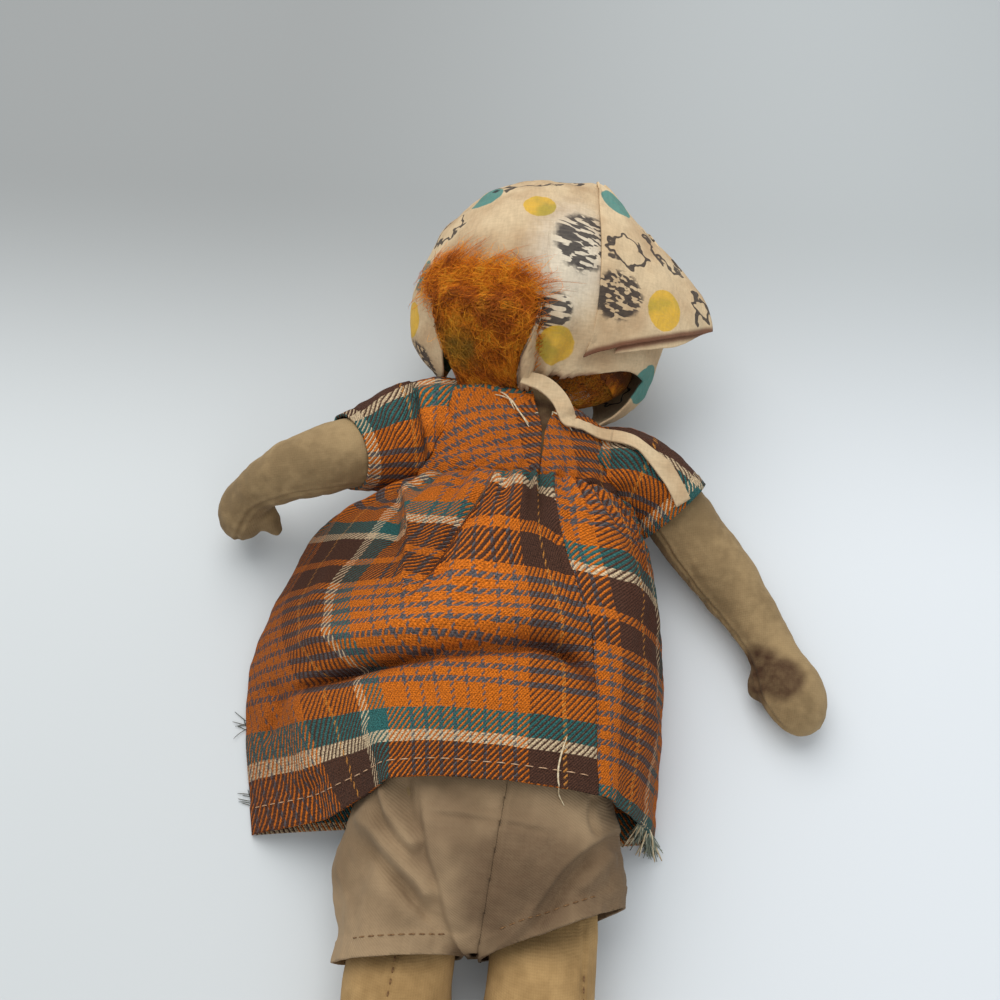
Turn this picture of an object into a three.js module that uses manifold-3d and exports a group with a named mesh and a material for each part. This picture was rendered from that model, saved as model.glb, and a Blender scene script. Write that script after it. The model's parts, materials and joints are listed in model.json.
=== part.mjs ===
// A stuffed rag doll in a plaid dress, bloomers and a printed kerchief, lying face down with its back up.
// Millimetres, +Z up. +Y runs from the feet to the crown, +X to the doll's own right.
// The origin is on the flat of the dress front, under the belly, where the doll rests.
import * as THREE from "three";
import Module from "manifold-3d";
import { mergeVertices } from "three/addons/utils/BufferGeometryUtils.js";

const wasm = await Module();
wasm.setup();

// Cloth and clearances
const COTTON = 0.8; // the cotton skin of the body
const PLAID = 1.1; // the dress cloth
const LINEN = 0.9; // bloomers and kerchief
const AIR = 0.4; // left between one piece and the next
const EASE = 1.6; // how loosely the dress and the bloomers lie over the body
const FLAT = 0.5; // how deep a piece that rests on the floor is flattened

// Head
const HEAD_WIDTH = 92;
const HEAD_LENGTH = 94;
const HEAD_DEPTH = 86;
const HEAD_X = 2;
const NECK_Y = 125; // the seam between the neck and the head, and the axis that the head nods about
const NECK_Z = 34;
const NECK_RADIUS = 15;
const HEAD_SINK = 8; // how far the head comes down over the ball of the neck

// Torso
const HIP_Y = -62.5; // the line of the two hip seams
const HIP_Z = 21;
const HIP_GAP = 4; // cloth left free at a hip seam, so that the leg can fold
const SEAM_TUCK = 1.5; // how far the flat seam cloth reaches into a limb
const HIP_WIDTH = 80;
const HIP_DEPTH = 46;
const CHEST_WIDTH = 79;
const CHEST_DEPTH = 48;
const SHOULDER_Y = 116;
const SHRUG = 5; // the left shoulder lies higher than the right by twice this
const BODY_LIFT = PLAID + LINEN + 2 * AIR + 1; // the body lies on the cloth that is under it
const SEAM_THICKNESS = 3.4; // a limb is sewn flat where it joins the body

// Arms: one cut, laid out differently on each side
const ARM_X = CHEST_WIDTH / 2 + 2; // the line of each shoulder seam
const ARM_Y = 101;
const ARM_Z = 30;
const ARM_THICKNESS = 27;
const WRIST_THICKNESS = 19;
const HAND_WIDTH = 25;
const HAND_THICKNESS = 21;
const THUMB_RADIUS = 5.2;

// Legs
const LEG_X = 22.5;
const LEG_LENGTH = 168.5; // from the hip seam to the sole
const LEG_THICKNESS = 34.5;
const ANKLE_THICKNESS = 23;
const FOOT_LENGTH = 46;

// Dress
const YOKE_Y = 82; // where the gathered skirt is sewn to the bodice
const COLLAR_Y = 121;
const SKIRT_LENGTH = 116; // along the middle of the back
const SKIRT_LEFT = 96; // how far the skirt spreads on the doll's left
const SKIRT_RIGHT = 62; // and on its right
const SKIRT_RISE = 60; // the height of the skirt over the floor
const BACK_SLIT_X = 9; // the open edge down the middle of the bodice back
const SLEEVE_LENGTH = 27; // below the shoulder seam
const SLEEVE_RADIUS = 17;

// Bloomers
const WAIST_Y = 30;
const CROTCH_Y = -79;
const CUFF_LEFT_Y = -86;
const CUFF_RIGHT_Y = -75;
const CUFF_RADIUS = 20.5;
const SEAT_BAG = 6.5; // how far the loose cloth hangs off the hips
const ELASTIC_WIDTH = 6;
const ELASTIC_THICKNESS = 0.6;

// Kerchief and hair
const HAIR_UNDER = 1.6; // the hair pressed under the kerchief
const HAIR_LOOSE = 6; // and where it stands free at the nape
const WING_REACH = 15; // how far the loose corner stands off the hood
const TIE_WIDTH = 7;

const TURN = 2 * Math.PI;
const FAR = 400;
const rad = THREE.MathUtils.degToRad;
const vec = (x, y, z) => new THREE.Vector3(x, y, z);
const between = (a, b, t) => a + (b - a) * t;
const smooth = THREE.MathUtils.smoothstep;
const bump = (at, place, width) => Math.exp(-(((at - place) / width) ** 2));
const steps = (from, to, count) => Array.from({ length: count + 1 }, (_, i) => between(from, to, i / count));

// A smooth curve through [place, value] pairs, held level beyond both ends.
function profile(...stations) {
  const last = stations.length - 1;
  const slope = (i) => {
    const [a, b] = [stations[Math.max(i - 1, 0)], stations[Math.min(i + 1, last)]];
    return (b[1] - a[1]) / (b[0] - a[0]);
  };
  return (at) => {
    if (at <= stations[0][0]) return stations[0][1];
    if (at >= stations[last][0]) return stations[last][1];
    const i = stations.findIndex((s) => s[0] > at) - 1;
    const span = stations[i + 1][0] - stations[i][0];
    const t = (at - stations[i][0]) / span;
    return (
      stations[i][1] * (1 + 2 * t) * (1 - t) ** 2 +
      slope(i) * span * t * (1 - t) ** 2 +
      stations[i + 1][1] * t * t * (3 - 2 * t) +
      slope(i + 1) * span * t * t * (t - 1)
    );
  };
}

// Joins corners that coincide, drops the triangles that collapse and turns the skin to face out.
function closed(points, faces) {
  const geometry = new THREE.BufferGeometry();
  geometry.setAttribute("position", new THREE.Float32BufferAttribute(points.flatMap((p) => [p.x, p.y, p.z]), 3));
  geometry.setIndex(faces.flat());
  const merged = mergeVertices(geometry, 2e-3);
  const index = merged.index.array;
  const corner = (k) => new THREE.Vector3().fromBufferAttribute(merged.attributes.position, k);
  const kept = [];
  let room = 0;
  for (let i = 0; i < index.length; i += 3) {
    const [a, b, c] = index.subarray(i, i + 3);
    if (a === b || b === c || c === a) continue;
    kept.push(a, b, c);
    room += corner(a).dot(corner(b).cross(corner(c)));
  }
  return merged.setIndex(room < 0 ? kept.reverse() : kept);
}

const solidOf = (geometry) =>
  new wasm.Manifold(
    new wasm.Mesh({
      numProp: 3,
      vertProperties: geometry.attributes.position.array,
      triVerts: new Uint32Array(geometry.index.array),
    }),
  );

function geometryOf(solid, detail) {
  const mesh = solid.simplify(detail).getMesh();
  const points = [];
  for (let i = 0; i < mesh.numVert; i++) {
    points.push(...mesh.vertProperties.subarray(i * mesh.numProp, i * mesh.numProp + 3));
  }
  const geometry = new THREE.BufferGeometry();
  geometry.setAttribute("position", new THREE.Float32BufferAttribute(points, 3));
  return geometry.setIndex([...mesh.triVerts]);
}

// The largest piece, without the crumbs that a cut can leave.
const whole = (solid) => solid.decompose().sort((a, b) => b.volume() - a.volume())[0];
const joined = (...solids) => solids.reduce((sum, one) => sum.add(one));

// A skin over rings of equal count: fanned over at both ends, or with its last ring sewn to its first.
function loft(rings, looped = false) {
  const count = rings[0].length;
  const points = rings.flat();
  const faces = [];
  for (let i = 0; i < rings.length - (looped ? 0 : 1); i++) {
    const [here, next] = [i * count, ((i + 1) % rings.length) * count];
    for (let j = 0; j < count; j++) {
      const k = (j + 1) % count;
      faces.push([here + j, here + k, next + k], [here + j, next + k, next + j]);
    }
  }
  if (looped) return solidOf(closed(points, faces));
  for (const [ring, start, first] of [[rings[0], 0, true], [rings.at(-1), points.length - count, false]]) {
    const middle = ring.reduce((sum, p) => sum.add(p), vec(0, 0, 0)).divideScalar(count);
    const centre = points.push(middle) - 1;
    for (let j = 0; j < count; j++) {
      const [a, b] = [start + j, start + ((j + 1) % count)];
      faces.push(first ? [centre, b, a] : [centre, a, b]);
    }
  }
  return solidOf(closed(points, faces));
}

// Cloth between an outer and an inner sheet over the same places across and along.
// A hood closes on itself across.
function cloth(sheet, wall, across, along, hood = false) {
  const points = [];
  for (const depth of [0, wall]) {
    for (const u of across) for (const v of along) points.push(sheet(u, v, depth));
  }
  const [m, n] = [across.length, along.length];
  const at = (side, i, j) => (side * m + (i % m)) * n + j;
  const faces = [];
  const quad = (a, b, c, d) => faces.push([a, b, c], [a, c, d]);
  for (let i = 0; i < m - (hood ? 0 : 1); i++) {
    for (let j = 0; j + 1 < n; j++) {
      quad(at(0, i, j), at(0, i, j + 1), at(0, i + 1, j + 1), at(0, i + 1, j));
      quad(at(1, i, j), at(1, i + 1, j), at(1, i + 1, j + 1), at(1, i, j + 1));
    }
    quad(at(0, i, 0), at(0, i + 1, 0), at(1, i + 1, 0), at(1, i, 0));
    quad(at(0, i, n - 1), at(1, i, n - 1), at(1, i + 1, n - 1), at(0, i + 1, n - 1));
  }
  for (let j = 0; !hood && j + 1 < n; j++) {
    quad(at(0, 0, j), at(1, 0, j), at(1, 0, j + 1), at(0, 0, j + 1));
    quad(at(0, m - 1, j), at(0, m - 1, j + 1), at(1, m - 1, j + 1), at(1, m - 1, j));
  }
  return solidOf(closed(points, faces));
}

function block(from, to) {
  const rings = [from.z, to.z].map((z) => [
    vec(from.x, from.y, z),
    vec(to.x, from.y, z),
    vec(to.x, to.y, z),
    vec(from.x, to.y, z),
  ]);
  return loft(rings);
}
const above = (z) => block(vec(-FAR, -FAR, z), vec(FAR, FAR, FAR));
const leftOf = (x) => block(vec(-FAR, -FAR, -FAR), vec(x, FAR, FAR));
const rightOf = (x) => block(vec(x, -FAR, -FAR), vec(FAR, FAR, FAR));
const aboveFloor = above(0);

function ball(centre, radius) {
  const round = new THREE.SphereGeometry(radius, 14, 8).deleteAttribute("normal").deleteAttribute("uv");
  return solidOf(mergeVertices(round, 2e-3).translate(centre.x, centre.y, centre.z));
}

// Torso: an oval that swells at the chest and the seat, drawn to a flat edge at the hip seams
const NECK = vec(HEAD_X / 2, NECK_Y, NECK_Z);
const STUFFED = -COTTON - AIR - 0.3; // the stuffing stops short of the cloth
const CHEST_Y = YOKE_Y - 7;
const SEAT_Y = HIP_Y + 34;
const torsoWide = profile(
  [HIP_Y, HIP_WIDTH / 2 - 1],
  [HIP_Y + 16, HIP_WIDTH / 2],
  [SEAT_Y, HIP_WIDTH / 2],
  [20, HIP_WIDTH / 2 - 2],
  [CHEST_Y, CHEST_WIDTH / 2],
  [SHOULDER_Y - 8, CHEST_WIDTH / 2 - 0.5],
  [SHOULDER_Y, CHEST_WIDTH / 2 - 6],
  [SHOULDER_Y + 6, NECK_RADIUS + 7],
  [NECK_Y, NECK_RADIUS],
);
const torsoDeep = profile(
  [HIP_Y, SEAM_THICKNESS / 2],
  [HIP_Y + 16, HIP_DEPTH / 2 - 4],
  [SEAT_Y, HIP_DEPTH / 2],
  [20, HIP_DEPTH / 2],
  [CHEST_Y, CHEST_DEPTH / 2],
  [SHOULDER_Y - 10, CHEST_DEPTH / 2 - 1],
  [SHOULDER_Y, CHEST_DEPTH / 2 - 4.5],
  [SHOULDER_Y + 6, NECK_RADIUS + 1.5],
  [NECK_Y, NECK_RADIUS],
);
const torsoMiddle = profile(
  [HIP_Y, HIP_Z],
  [HIP_Y + 18, BODY_LIFT + HIP_DEPTH / 2 - 2],
  [SEAT_Y, BODY_LIFT + HIP_DEPTH / 2],
  [CHEST_Y, BODY_LIFT + CHEST_DEPTH / 2],
  [SHOULDER_Y - 10, BODY_LIFT + CHEST_DEPTH / 2 + 0.5],
  [SHOULDER_Y + 6, NECK_Z - 2],
  [NECK_Y, NECK_Z],
);
const lean = (y) => NECK.x * smooth(y, 0, NECK_Y);

function torsoPoint(y, angle, grow) {
  const side = Math.cos(rad(angle));
  return vec(
    lean(y) + (torsoWide(y) + grow) * side,
    y - SHRUG * side * smooth(y, YOKE_Y, SHOULDER_Y) * (torsoWide(y) / torsoWide(YOKE_Y)),
    torsoMiddle(y) + (torsoDeep(y) + grow) * Math.sin(rad(angle)),
  );
}
function torsoRing(y, grow, sides = 18, floor = -FAR) {
  return steps(0, 360, sides).slice(0, -1).map((angle) => {
    const p = torsoPoint(y, angle, grow);
    return vec(p.x, p.y, Math.max(p.z, floor));
  });
}

const torsoStations = [0, 0.03, 0.07, 0.13, 0.21, 0.34, 0.5, 0.67, 0.83, 0.9, 0.945, 0.975, 1].map(
  (share) => between(HIP_Y + HIP_GAP / 2, NECK_Y, share),
);
const torsoFilled = (grow, stations = torsoStations) =>
  joined(loft(stations.map((y) => torsoRing(y, grow))), ball(NECK, NECK_RADIUS + grow));

// The skin is left open along the hip seams, where the legs are sewn in.
function torsoSkin() {
  const mouth = torsoRing(torsoStations[0], -COTTON).map((p) => p.setY(p.y - 1));
  const rings = torsoStations.map((y) => torsoRing(y, -COTTON));
  const hollow = joined(loft([mouth, ...rings]), ball(NECK, NECK_RADIUS - COTTON));
  return whole(torsoFilled(0).subtract(hollow));
}

// Head: an oval with a narrower jaw, resting on its face
const HEAD = vec(HEAD_X, NECK_Y - HEAD_SINK + NECK_RADIUS + HEAD_LENGTH / 2, HEAD_DEPTH / 2 - FLAT);

// A point on the head. Turn goes from the doll's right over the back of the head to its left and on
// round the face; fall goes from the crown down to the neck. Both are in degrees.
function onHead(turn, fall, grow) {
  const [t, f] = [rad(turn), rad(fall)];
  const round = Math.sin(f) * (1 - 0.07 * smooth(fall, 100, 170));
  return vec(
    HEAD.x + (HEAD_WIDTH / 2 + grow) * round * Math.cos(t),
    HEAD.y + (HEAD_LENGTH / 2 + grow) * Math.cos(f),
    HEAD.z + (HEAD_DEPTH / 2 + grow) * round * Math.sin(t),
  );
}
function headFilled(grow) {
  const falls = [10, 28, 46, 64, 82, 100, 118, 136, 154, 170];
  return loft(falls.map((fall) => steps(0, 360, 20).slice(1).map((turn) => onHead(turn, fall, grow))));
}
const neckSocket = ball(NECK, NECK_RADIUS + AIR + 0.2);
const headSkin = () => whole(headFilled(0).intersect(aboveFloor).subtract(headFilled(-COTTON).intersect(above(COTTON))).subtract(neckSocket));
const headStuffing = () => whole(headFilled(STUFFED).intersect(above(-STUFFED)).subtract(neckSocket));

// A limb: an oval section swept along a path. The wide side of the section stays along one axis;
// widths are full sizes at shares of the length. Past the tip share the end is rounded off.
class Limb {
  constructor({ path, axis, wide, thick, tip = 2, stations, sides = 12 }) {
    Object.assign(this, { axis, wide, thick, tip, stations, sides });
    this.path = new THREE.CatmullRomCurve3(path, false, "centripetal");
    this.length = this.path.getLength();
  }
  ring(share, grow) {
    const at = this.path.getPointAt(share);
    const ahead = this.path.getTangentAt(share);
    const across = this.axis.clone().addScaledVector(ahead, -this.axis.dot(ahead)).normalize();
    const up = ahead.clone().cross(across);
    const past = share > this.tip ? (share - this.tip) / (1 - this.tip) : 0;
    const round = Math.sqrt(Math.max(0.02, 1 - past ** 2));
    return steps(0, TURN, this.sides).slice(1).map((a) =>
      at
        .clone()
        .addScaledVector(across, ((this.wide(share) / 2) * round + grow) * Math.cos(a))
        .addScaledVector(up, ((this.thick(share) / 2) * round + grow) * Math.sin(a)),
    );
  }
  rings(grow, from = 0, to = 1) {
    return this.stations.filter((s) => s >= from && s <= to).map((s) => this.ring(s, grow));
  }
  filled(grow, from = 0, to = 1) {
    return loft(this.rings(grow, from, to));
  }
  // Sewn shut round the tip and left open at the seam.
  skin() {
    const inside = this.rings(-COTTON).slice(0, -1);
    const mouth = inside[0].map((p) => p.clone().sub(this.path.getTangentAt(0)));
    return this.filled(0).subtract(loft([mouth, ...inside]).intersect(above(COTTON)));
  }
  tube(wall) {
    return loft([...this.rings(0), ...this.rings(-wall).reverse()], true);
  }
}

const armWide = profile(
  [0, ARM_THICKNESS - 2],
  [0.13, ARM_THICKNESS],
  [0.42, ARM_THICKNESS],
  [0.62, WRIST_THICKNESS + 2.5],
  [0.73, WRIST_THICKNESS],
  [0.87, HAND_WIDTH],
  [1, HAND_WIDTH],
);
const armThick = profile(
  [0, SEAM_THICKNESS],
  [0.13, ARM_THICKNESS - 4],
  [0.25, ARM_THICKNESS],
  [0.5, ARM_THICKNESS - 2],
  [0.73, WRIST_THICKNESS - 1],
  [0.87, HAND_THICKNESS],
  [1, HAND_THICKNESS],
);
const ARM_STATIONS = [0, 0.06, 0.13, 0.24, 0.38, 0.51, 0.63, 0.73, 0.8, 0.87, 0.94, 0.985, 1];

// The right arm lies flat; the left arches over its elbow and comes down on the hand.
const SHOULDERS = { left: vec(-ARM_X, ARM_Y + 4, ARM_Z), right: vec(ARM_X, ARM_Y - 2, ARM_Z) };
const REACH = {
  left: [vec(-5, 0, 0.2), vec(-14, -6, 6), vec(-27, -15, 12.5), vec(-40, -21, 12.5), vec(-53, -25, 8), vec(-63, -28, 0), vec(-69, -30, -11), vec(-72, -33, -24)],
  right: [vec(5, 0, 0), vec(16, -6, -4), vec(30, -19, -11), vec(44, -36, -15), vec(56, -53, -17), vec(64, -68, -18), vec(70, -82, -19), vec(73, -95, -19.5)],
};
const THUMBS = {
  left: [vec(-62, -31, -6), vec(-55, -36, -21)],
  right: [vec(60, -70, -20), vec(55, -82, -23.5)],
};
const arms = Object.fromEntries(
  Object.keys(REACH).map((side) => {
    const path = [SHOULDERS[side], ...REACH[side].map((p) => p.clone().add(SHOULDERS[side]))];
    const make = { path, axis: vec(0, 1, 0), wide: armWide, thick: armThick, tip: 0.86, stations: ARM_STATIONS };
    return [side, new Limb(make)];
  }),
);

function armSkin(side) {
  const [root, end] = THUMBS[side].map((p) => p.clone().add(SHOULDERS[side]));
  const nub = new Limb({
    path: [root, root.clone().lerp(end, 0.5), end],
    axis: vec(0, 0, 1),
    wide: profile([0, 2 * THUMB_RADIUS], [1, 1.7 * THUMB_RADIUS]),
    thick: profile([0, 2 * THUMB_RADIUS], [1, 1.7 * THUMB_RADIUS]),
    tip: 0.4,
    stations: [0, 0.4, 0.7, 0.9, 1],
    sides: 8,
  });
  return whole(arms[side].skin().add(nub.filled(0).subtract(arms[side].filled(-COTTON))).intersect(aboveFloor));
}

// Legs, with the feet turned out on their sides
const legWide = profile(
  [0, LEG_THICKNESS],
  [0.2, LEG_THICKNESS],
  [0.45, LEG_THICKNESS - 4],
  [0.68, ANKLE_THICKNESS + 1],
  [0.8, ANKLE_THICKNESS + 1],
  [1, ANKLE_THICKNESS - 2],
);
const legThick = profile(
  [0, SEAM_THICKNESS],
  [0.1, LEG_THICKNESS - 7],
  [0.19, LEG_THICKNESS - 1],
  [0.45, LEG_THICKNESS - 4],
  [0.68, ANKLE_THICKNESS],
  [1, ANKLE_THICKNESS - 3],
);
const LEG_STATIONS = [0, 0.04, 0.1, 0.19, 0.32, 0.48, 0.6, 0.69, 0.76, 0.83, 0.9, 0.95, 0.985, 1];

function leg(side) {
  const start = HIP_Y - HIP_GAP / 2;
  const sole = HIP_Y - LEG_LENGTH;
  const [thigh, heel] = [LEG_THICKNESS / 2, ANKLE_THICKNESS / 2];
  const path = [
    vec(LEG_X, start, HIP_Z),
    vec(LEG_X, start - 3, HIP_Z),
    vec(LEG_X, start - 15, thigh + LINEN + AIR + 1.5),
    vec(LEG_X, start - 31, thigh + LINEN + AIR + 0.5),
    vec(LEG_X + 0.5, start - 58, thigh - 1 - FLAT),
    vec(LEG_X + 1, start - 100, heel + 1.5 - FLAT),
    vec(LEG_X + 1.5, sole + heel + 16, heel - FLAT),
    vec(LEG_X + 5, sole + heel + 3, heel - FLAT),
    vec(LEG_X + 16, sole + heel - 1, heel - FLAT),
    vec(LEG_X + FOOT_LENGTH - heel, sole + heel, heel - 1 - FLAT),
  ].map((p) => vec(side * p.x, p.y, p.z));
  return new Limb({ path, axis: vec(side * 0.75, 0.66, 0), wide: legWide, thick: legThick, tip: 0.9, stations: LEG_STATIONS });
}
const legs = { left: leg(-1), right: leg(1) };

// The flat double cloth of each seam, which bends when the limb swings
const seamCloth = SEAM_THICKNESS - 2 * COTTON - 3 * AIR;
function hipSeam(side) {
  const half = vec(LEG_THICKNESS / 4, HIP_GAP / 2 + 1, seamCloth / 2);
  const middle = vec(side === "left" ? -LEG_X : LEG_X, HIP_Y, HIP_Z);
  return block(middle.clone().sub(half), middle.clone().add(half));
}
function shoulderSeam(side) {
  const seam = SHOULDERS[side];
  const body = torsoPoint(ARM_Y, side === "left" ? 180 : 0, 0.75 * AIR).x;
  const [inner, outer] = [body, seam.x + Math.sign(seam.x) * SEAM_TUCK].sort((a, b) => a - b);
  const half = vec(0, ARM_THICKNESS / 3, seamCloth / 2);
  return block(vec(inner, seam.y, seam.z).sub(half), vec(outer, seam.y, seam.z).add(half));
}

// Skirt: rails that run from the yoke to the hem, in order round the body from the doll's right.
// Each starts at an angle round the yoke, then gives the spread, the share of the length and the
// share of the height at four stations down to the hem.
const SKIRT_DOWN = [0, 0.12, 0.3, 0.55, 0.8, 1];
const BODICE_OUT = EASE + PLAID;
function rail(angle, ...stations) {
  const start = torsoPoint(YOKE_Y, angle, BODICE_OUT);
  const placed = stations.map(([spread, down, high]) =>
    vec(spread * (spread < 0 ? SKIRT_LEFT : SKIRT_RIGHT), YOKE_Y - down * SKIRT_LENGTH, high * SKIRT_RISE),
  );
  const curves = ["x", "y", "z"].map((key) => profile(...[start, ...placed].map((p, i) => [SKIRT_DOWN[i], p[key]])));
  return (s) => vec(...curves.map((curve) => curve(s)));
}
const rails = [
  rail(0, [0.8, 0.11, 0.22], [0.9, 0.27, 0.02], [0.96, 0.535, 0], [0.97, 0.81, 0], [0.94, 1.035, 0]),
  rail(28, [0.81, 0.11, 0.48], [0.92, 0.275, 0.4], [0.96, 0.54, 0.37], [0.94, 0.81, 0.35], [0.9, 1.03, 0.31]),
  rail(52, [0.62, 0.115, 0.82], [0.71, 0.28, 0.79], [0.78, 0.55, 0.77], [0.76, 0.81, 0.74], [0.71, 1.015, 0.69]),
  rail(72, [0.25, 0.117, 0.98], [0.33, 0.29, 0.98], [0.5, 0.55, 0.95], [0.56, 0.81, 0.89], [0.58, 1, 0.84]),
  rail(90, [0.02, 0.12, 0.99], [0, 0.3, 1], [0, 0.55, 1.005], [0.03, 0.81, 0.97], [0.06, 0.995, 0.93]),
  rail(125, [-0.35, 0.12, 0.91], [-0.38, 0.29, 0.91], [-0.4, 0.55, 0.9], [-0.35, 0.81, 0.86], [-0.3, 1.01, 0.86]),
  rail(152, [-0.71, 0.13, 0.57], [-0.81, 0.28, 0.49], [-0.83, 0.54, 0.45], [-0.75, 0.82, 0.4], [-0.545, 1.085, 0.42]),
  rail(180, [-0.72, 0.14, 0.2], [-0.9, 0.285, 0.02], [-1, 0.55, 0], [-0.97, 0.82, 0], [-0.87, 1.12, 0]),
  rail(225, [-0.47, 0.13, 0], [-0.5, 0.29, 0], [-0.52, 0.55, 0], [-0.48, 0.81, 0], [-0.44, 1.07, 0]),
  rail(270, [0, 0.13, 0], [0, 0.29, 0], [0, 0.55, 0], [0, 0.81, 0], [0, 1.06, 0]),
  rail(315, [0.55, 0.13, 0], [0.58, 0.29, 0], [0.61, 0.55, 0], [0.58, 0.81, 0], [0.55, 1.06, 0]),
];
const SEAM_RAIL = 3;
const LEFT_RAIL = 7;

// Gathers fade down from the yoke; a deep fold crosses the back and lesser ones run down from the yoke.
function fold(c, s) {
  const over = smooth(c, 0, 0.7) * (1 - smooth(c, 6.2, 7));
  const gathers = 1.2 * Math.cos(TURN * 1.125 * c) * (1 - smooth(s, 0.04, 0.3)) * smooth(s, 0, 0.05);
  const crossing = 3 * bump(s, 0.46 + 0.012 * (c - 4.5) ** 2, 0.09) - 1.3 * bump(s, 0.6 + 0.012 * (c - 4.5) ** 2, 0.035);
  const ridges =
    2.4 * bump(c, 5.1, 0.2) * bump(s, 0.28, 0.16) +
    2 * bump(c, 4.3 + 1.2 * (s - 0.2), 0.17) * bump(s, 0.32, 0.16) +
    2.4 * bump(c, 2.4 - 2.6 * s, 0.28) * bump(s, 0.25, 0.22) +
    2 * bump(c, 5.8, 0.2) * bump(s, 0.9, 0.25) +
    1.2 * bump(c, 1.7, 0.25) * bump(s, 0.8, 0.25);
  return over * (gathers + crossing * smooth(c, 3, 3.6) * (1 - smooth(c, 5.6, 6.4)) + ridges);
}
function skirtBase(c, s) {
  const count = rails.length;
  const i = Math.floor(c);
  const t = c - i;
  const [a, b, d, e] = [-1, 0, 1, 2].map((k) => rails[(i + k + count) % count](s));
  const blend = (key) => {
    const [p, q, r, u] = [a[key], b[key], d[key], e[key]];
    return q + 0.5 * t * (r - p + t * (2 * p - 5 * q + 4 * r - u + t * (3 * (q - r) + u - p)));
  };
  return vec(blend("x"), blend("y"), blend("z"));
}
function skirtPoint(c, s, depth) {
  const at = skirtBase(c, s);
  const round = skirtBase(c + 0.02, s).sub(skirtBase(c - 0.02, s));
  const down = skirtBase(c, Math.min(1, s + 0.01)).sub(skirtBase(c, Math.max(0, s - 0.01)));
  const out = round.cross(down).normalize();
  at.addScaledVector(out, fold(c, s) - depth);
  return at.setZ(Math.max(at.z, Math.max(0, depth)));
}
const skirtStations = [0, 0.06, 0.13, 0.22, 0.31, 0.4, 0.48, 0.55, 0.6, 0.67, 0.78, 0.89, 1].map(
  (s) => between((2 * AIR) / SKIRT_LENGTH, 1, s),
);
const panel = (from, to, count) => cloth(skirtPoint, PLAID, steps(from, to, count), skirtStations);
const SEAM_GAP = 0.012; // as a share of the way to the next rail
const skirtFilled = (grow) =>
  loft(skirtStations.map((s) => steps(0, rails.length, 66).slice(1).map((c) => skirtPoint(c, s, -grow))));

// Bodice: a yoke over the torso, cut by the neck hole, the armholes and the slit down the back
const bodiceStations = [0, 0.3, 0.55, 0.75, 0.9, 1].map((share) => between(YOKE_Y + AIR / 2, COLLAR_Y, share));
const bodiceFilled = (grow) =>
  loft([YOKE_Y - 24, YOKE_Y - 8, ...bodiceStations, NECK_Y + AIR].map((y) => torsoRing(y, grow, 24)));
const sleeveLimbs = Object.fromEntries(
  ["left", "right"].map((side) => {
    const way = arms[side];
    const reach = SLEEVE_LENGTH / way.length;
    const [droop, rise] = side === "left" ? [8, 3] : [2, 0]; // the left sleeve is bunched up over the shoulder
    const start = SHOULDERS[side];
    const path = [
      vec(start.x * 0.66, start.y + rise, start.z),
      vec(start.x * 0.85, start.y + rise, start.z),
      ...[0.08, 0.55, 1].map((share) => way.path.getPointAt(share * reach)),
    ];
    const wide = profile([0, 2 * SLEEVE_RADIUS + droop], [0.5, 2 * SLEEVE_RADIUS + droop], [1, 2 * SLEEVE_RADIUS]);
    const thick = profile([0, 2 * SLEEVE_RADIUS], [1, 2 * SLEEVE_RADIUS]);
    return [side, new Limb({ path, axis: vec(0, 1, 0), wide, thick, stations: [0, 0.25, 0.5, 0.75, 1], sides: 16 })];
  }),
);
const sleeve = (side) =>
  whole(sleeveLimbs[side].tube(PLAID).subtract(bodiceFilled(BODICE_OUT + AIR)).subtract(skirtFilled(2 * AIR)));

function bodice() {
  const rings = (grow) => bodiceStations.map((y) => torsoRing(y, grow, 24, grow > EASE ? 0 : PLAID));
  const shell = loft([...rings(BODICE_OUT), ...rings(EASE).reverse()], true);
  return Object.values(sleeveLimbs).reduce((left, limb) => left.subtract(limb.filled(-PLAID - 1)), shell);
}
function bodicePanels() {
  const yoke = bodice();
  const side = torsoMiddle(ARM_Y);
  const back = yoke.intersect(above(side + AIR / 2));
  const open = 6; // the slit falls open at the neck
  const outline = [
    [-AIR / 2, YOKE_Y - 5],
    [AIR / 2, YOKE_Y - 5],
    [AIR / 2 + 0.3, YOKE_Y + 17],
    [open, COLLAR_Y + 5],
    [-open, COLLAR_Y + 5],
    [-AIR / 2 - 0.3, YOKE_Y + 17],
  ];
  const slit = loft([side, FAR].map((z) => outline.map(([x, y]) => vec(BACK_SLIT_X + x, y, z))));
  const halves = back.subtract(slit);
  return {
    front: whole(yoke.subtract(above(side - AIR / 2))),
    left: whole(halves.intersect(leftOf(BACK_SLIT_X))),
    right: whole(halves.intersect(rightOf(BACK_SLIT_X))),
  };
}

// Bloomers: a seat and two leg tubes, sewn in the middle. The right leg is pushed up on the outside.
const CUFF_TILT = 0.38;
const rightCuff = (x) => CUFF_RIGHT_Y + CUFF_TILT * (x - LEG_X);
const bloomersUnder = (y) => between(PLAID + AIR, 0, smooth(-y, -(CROTCH_Y + 38), -(CROTCH_Y + 24)));
const seatBag = profile([SEAT_Y, 0], [HIP_Y + 18, SEAT_BAG * 0.5], [HIP_Y + 4, SEAT_BAG], [CROTCH_Y, SEAT_BAG * 0.4]);
const seatTop = profile(
  [HIP_Y + 22, torsoMiddle(HIP_Y + 22) + torsoDeep(HIP_Y + 22)],
  [HIP_Y + 8, BODY_LIFT + HIP_DEPTH - 6],
  [HIP_Y - 4, BODY_LIFT + HIP_DEPTH - 11],
  [CROTCH_Y, BODY_LIFT + HIP_DEPTH - 18],
);
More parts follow.
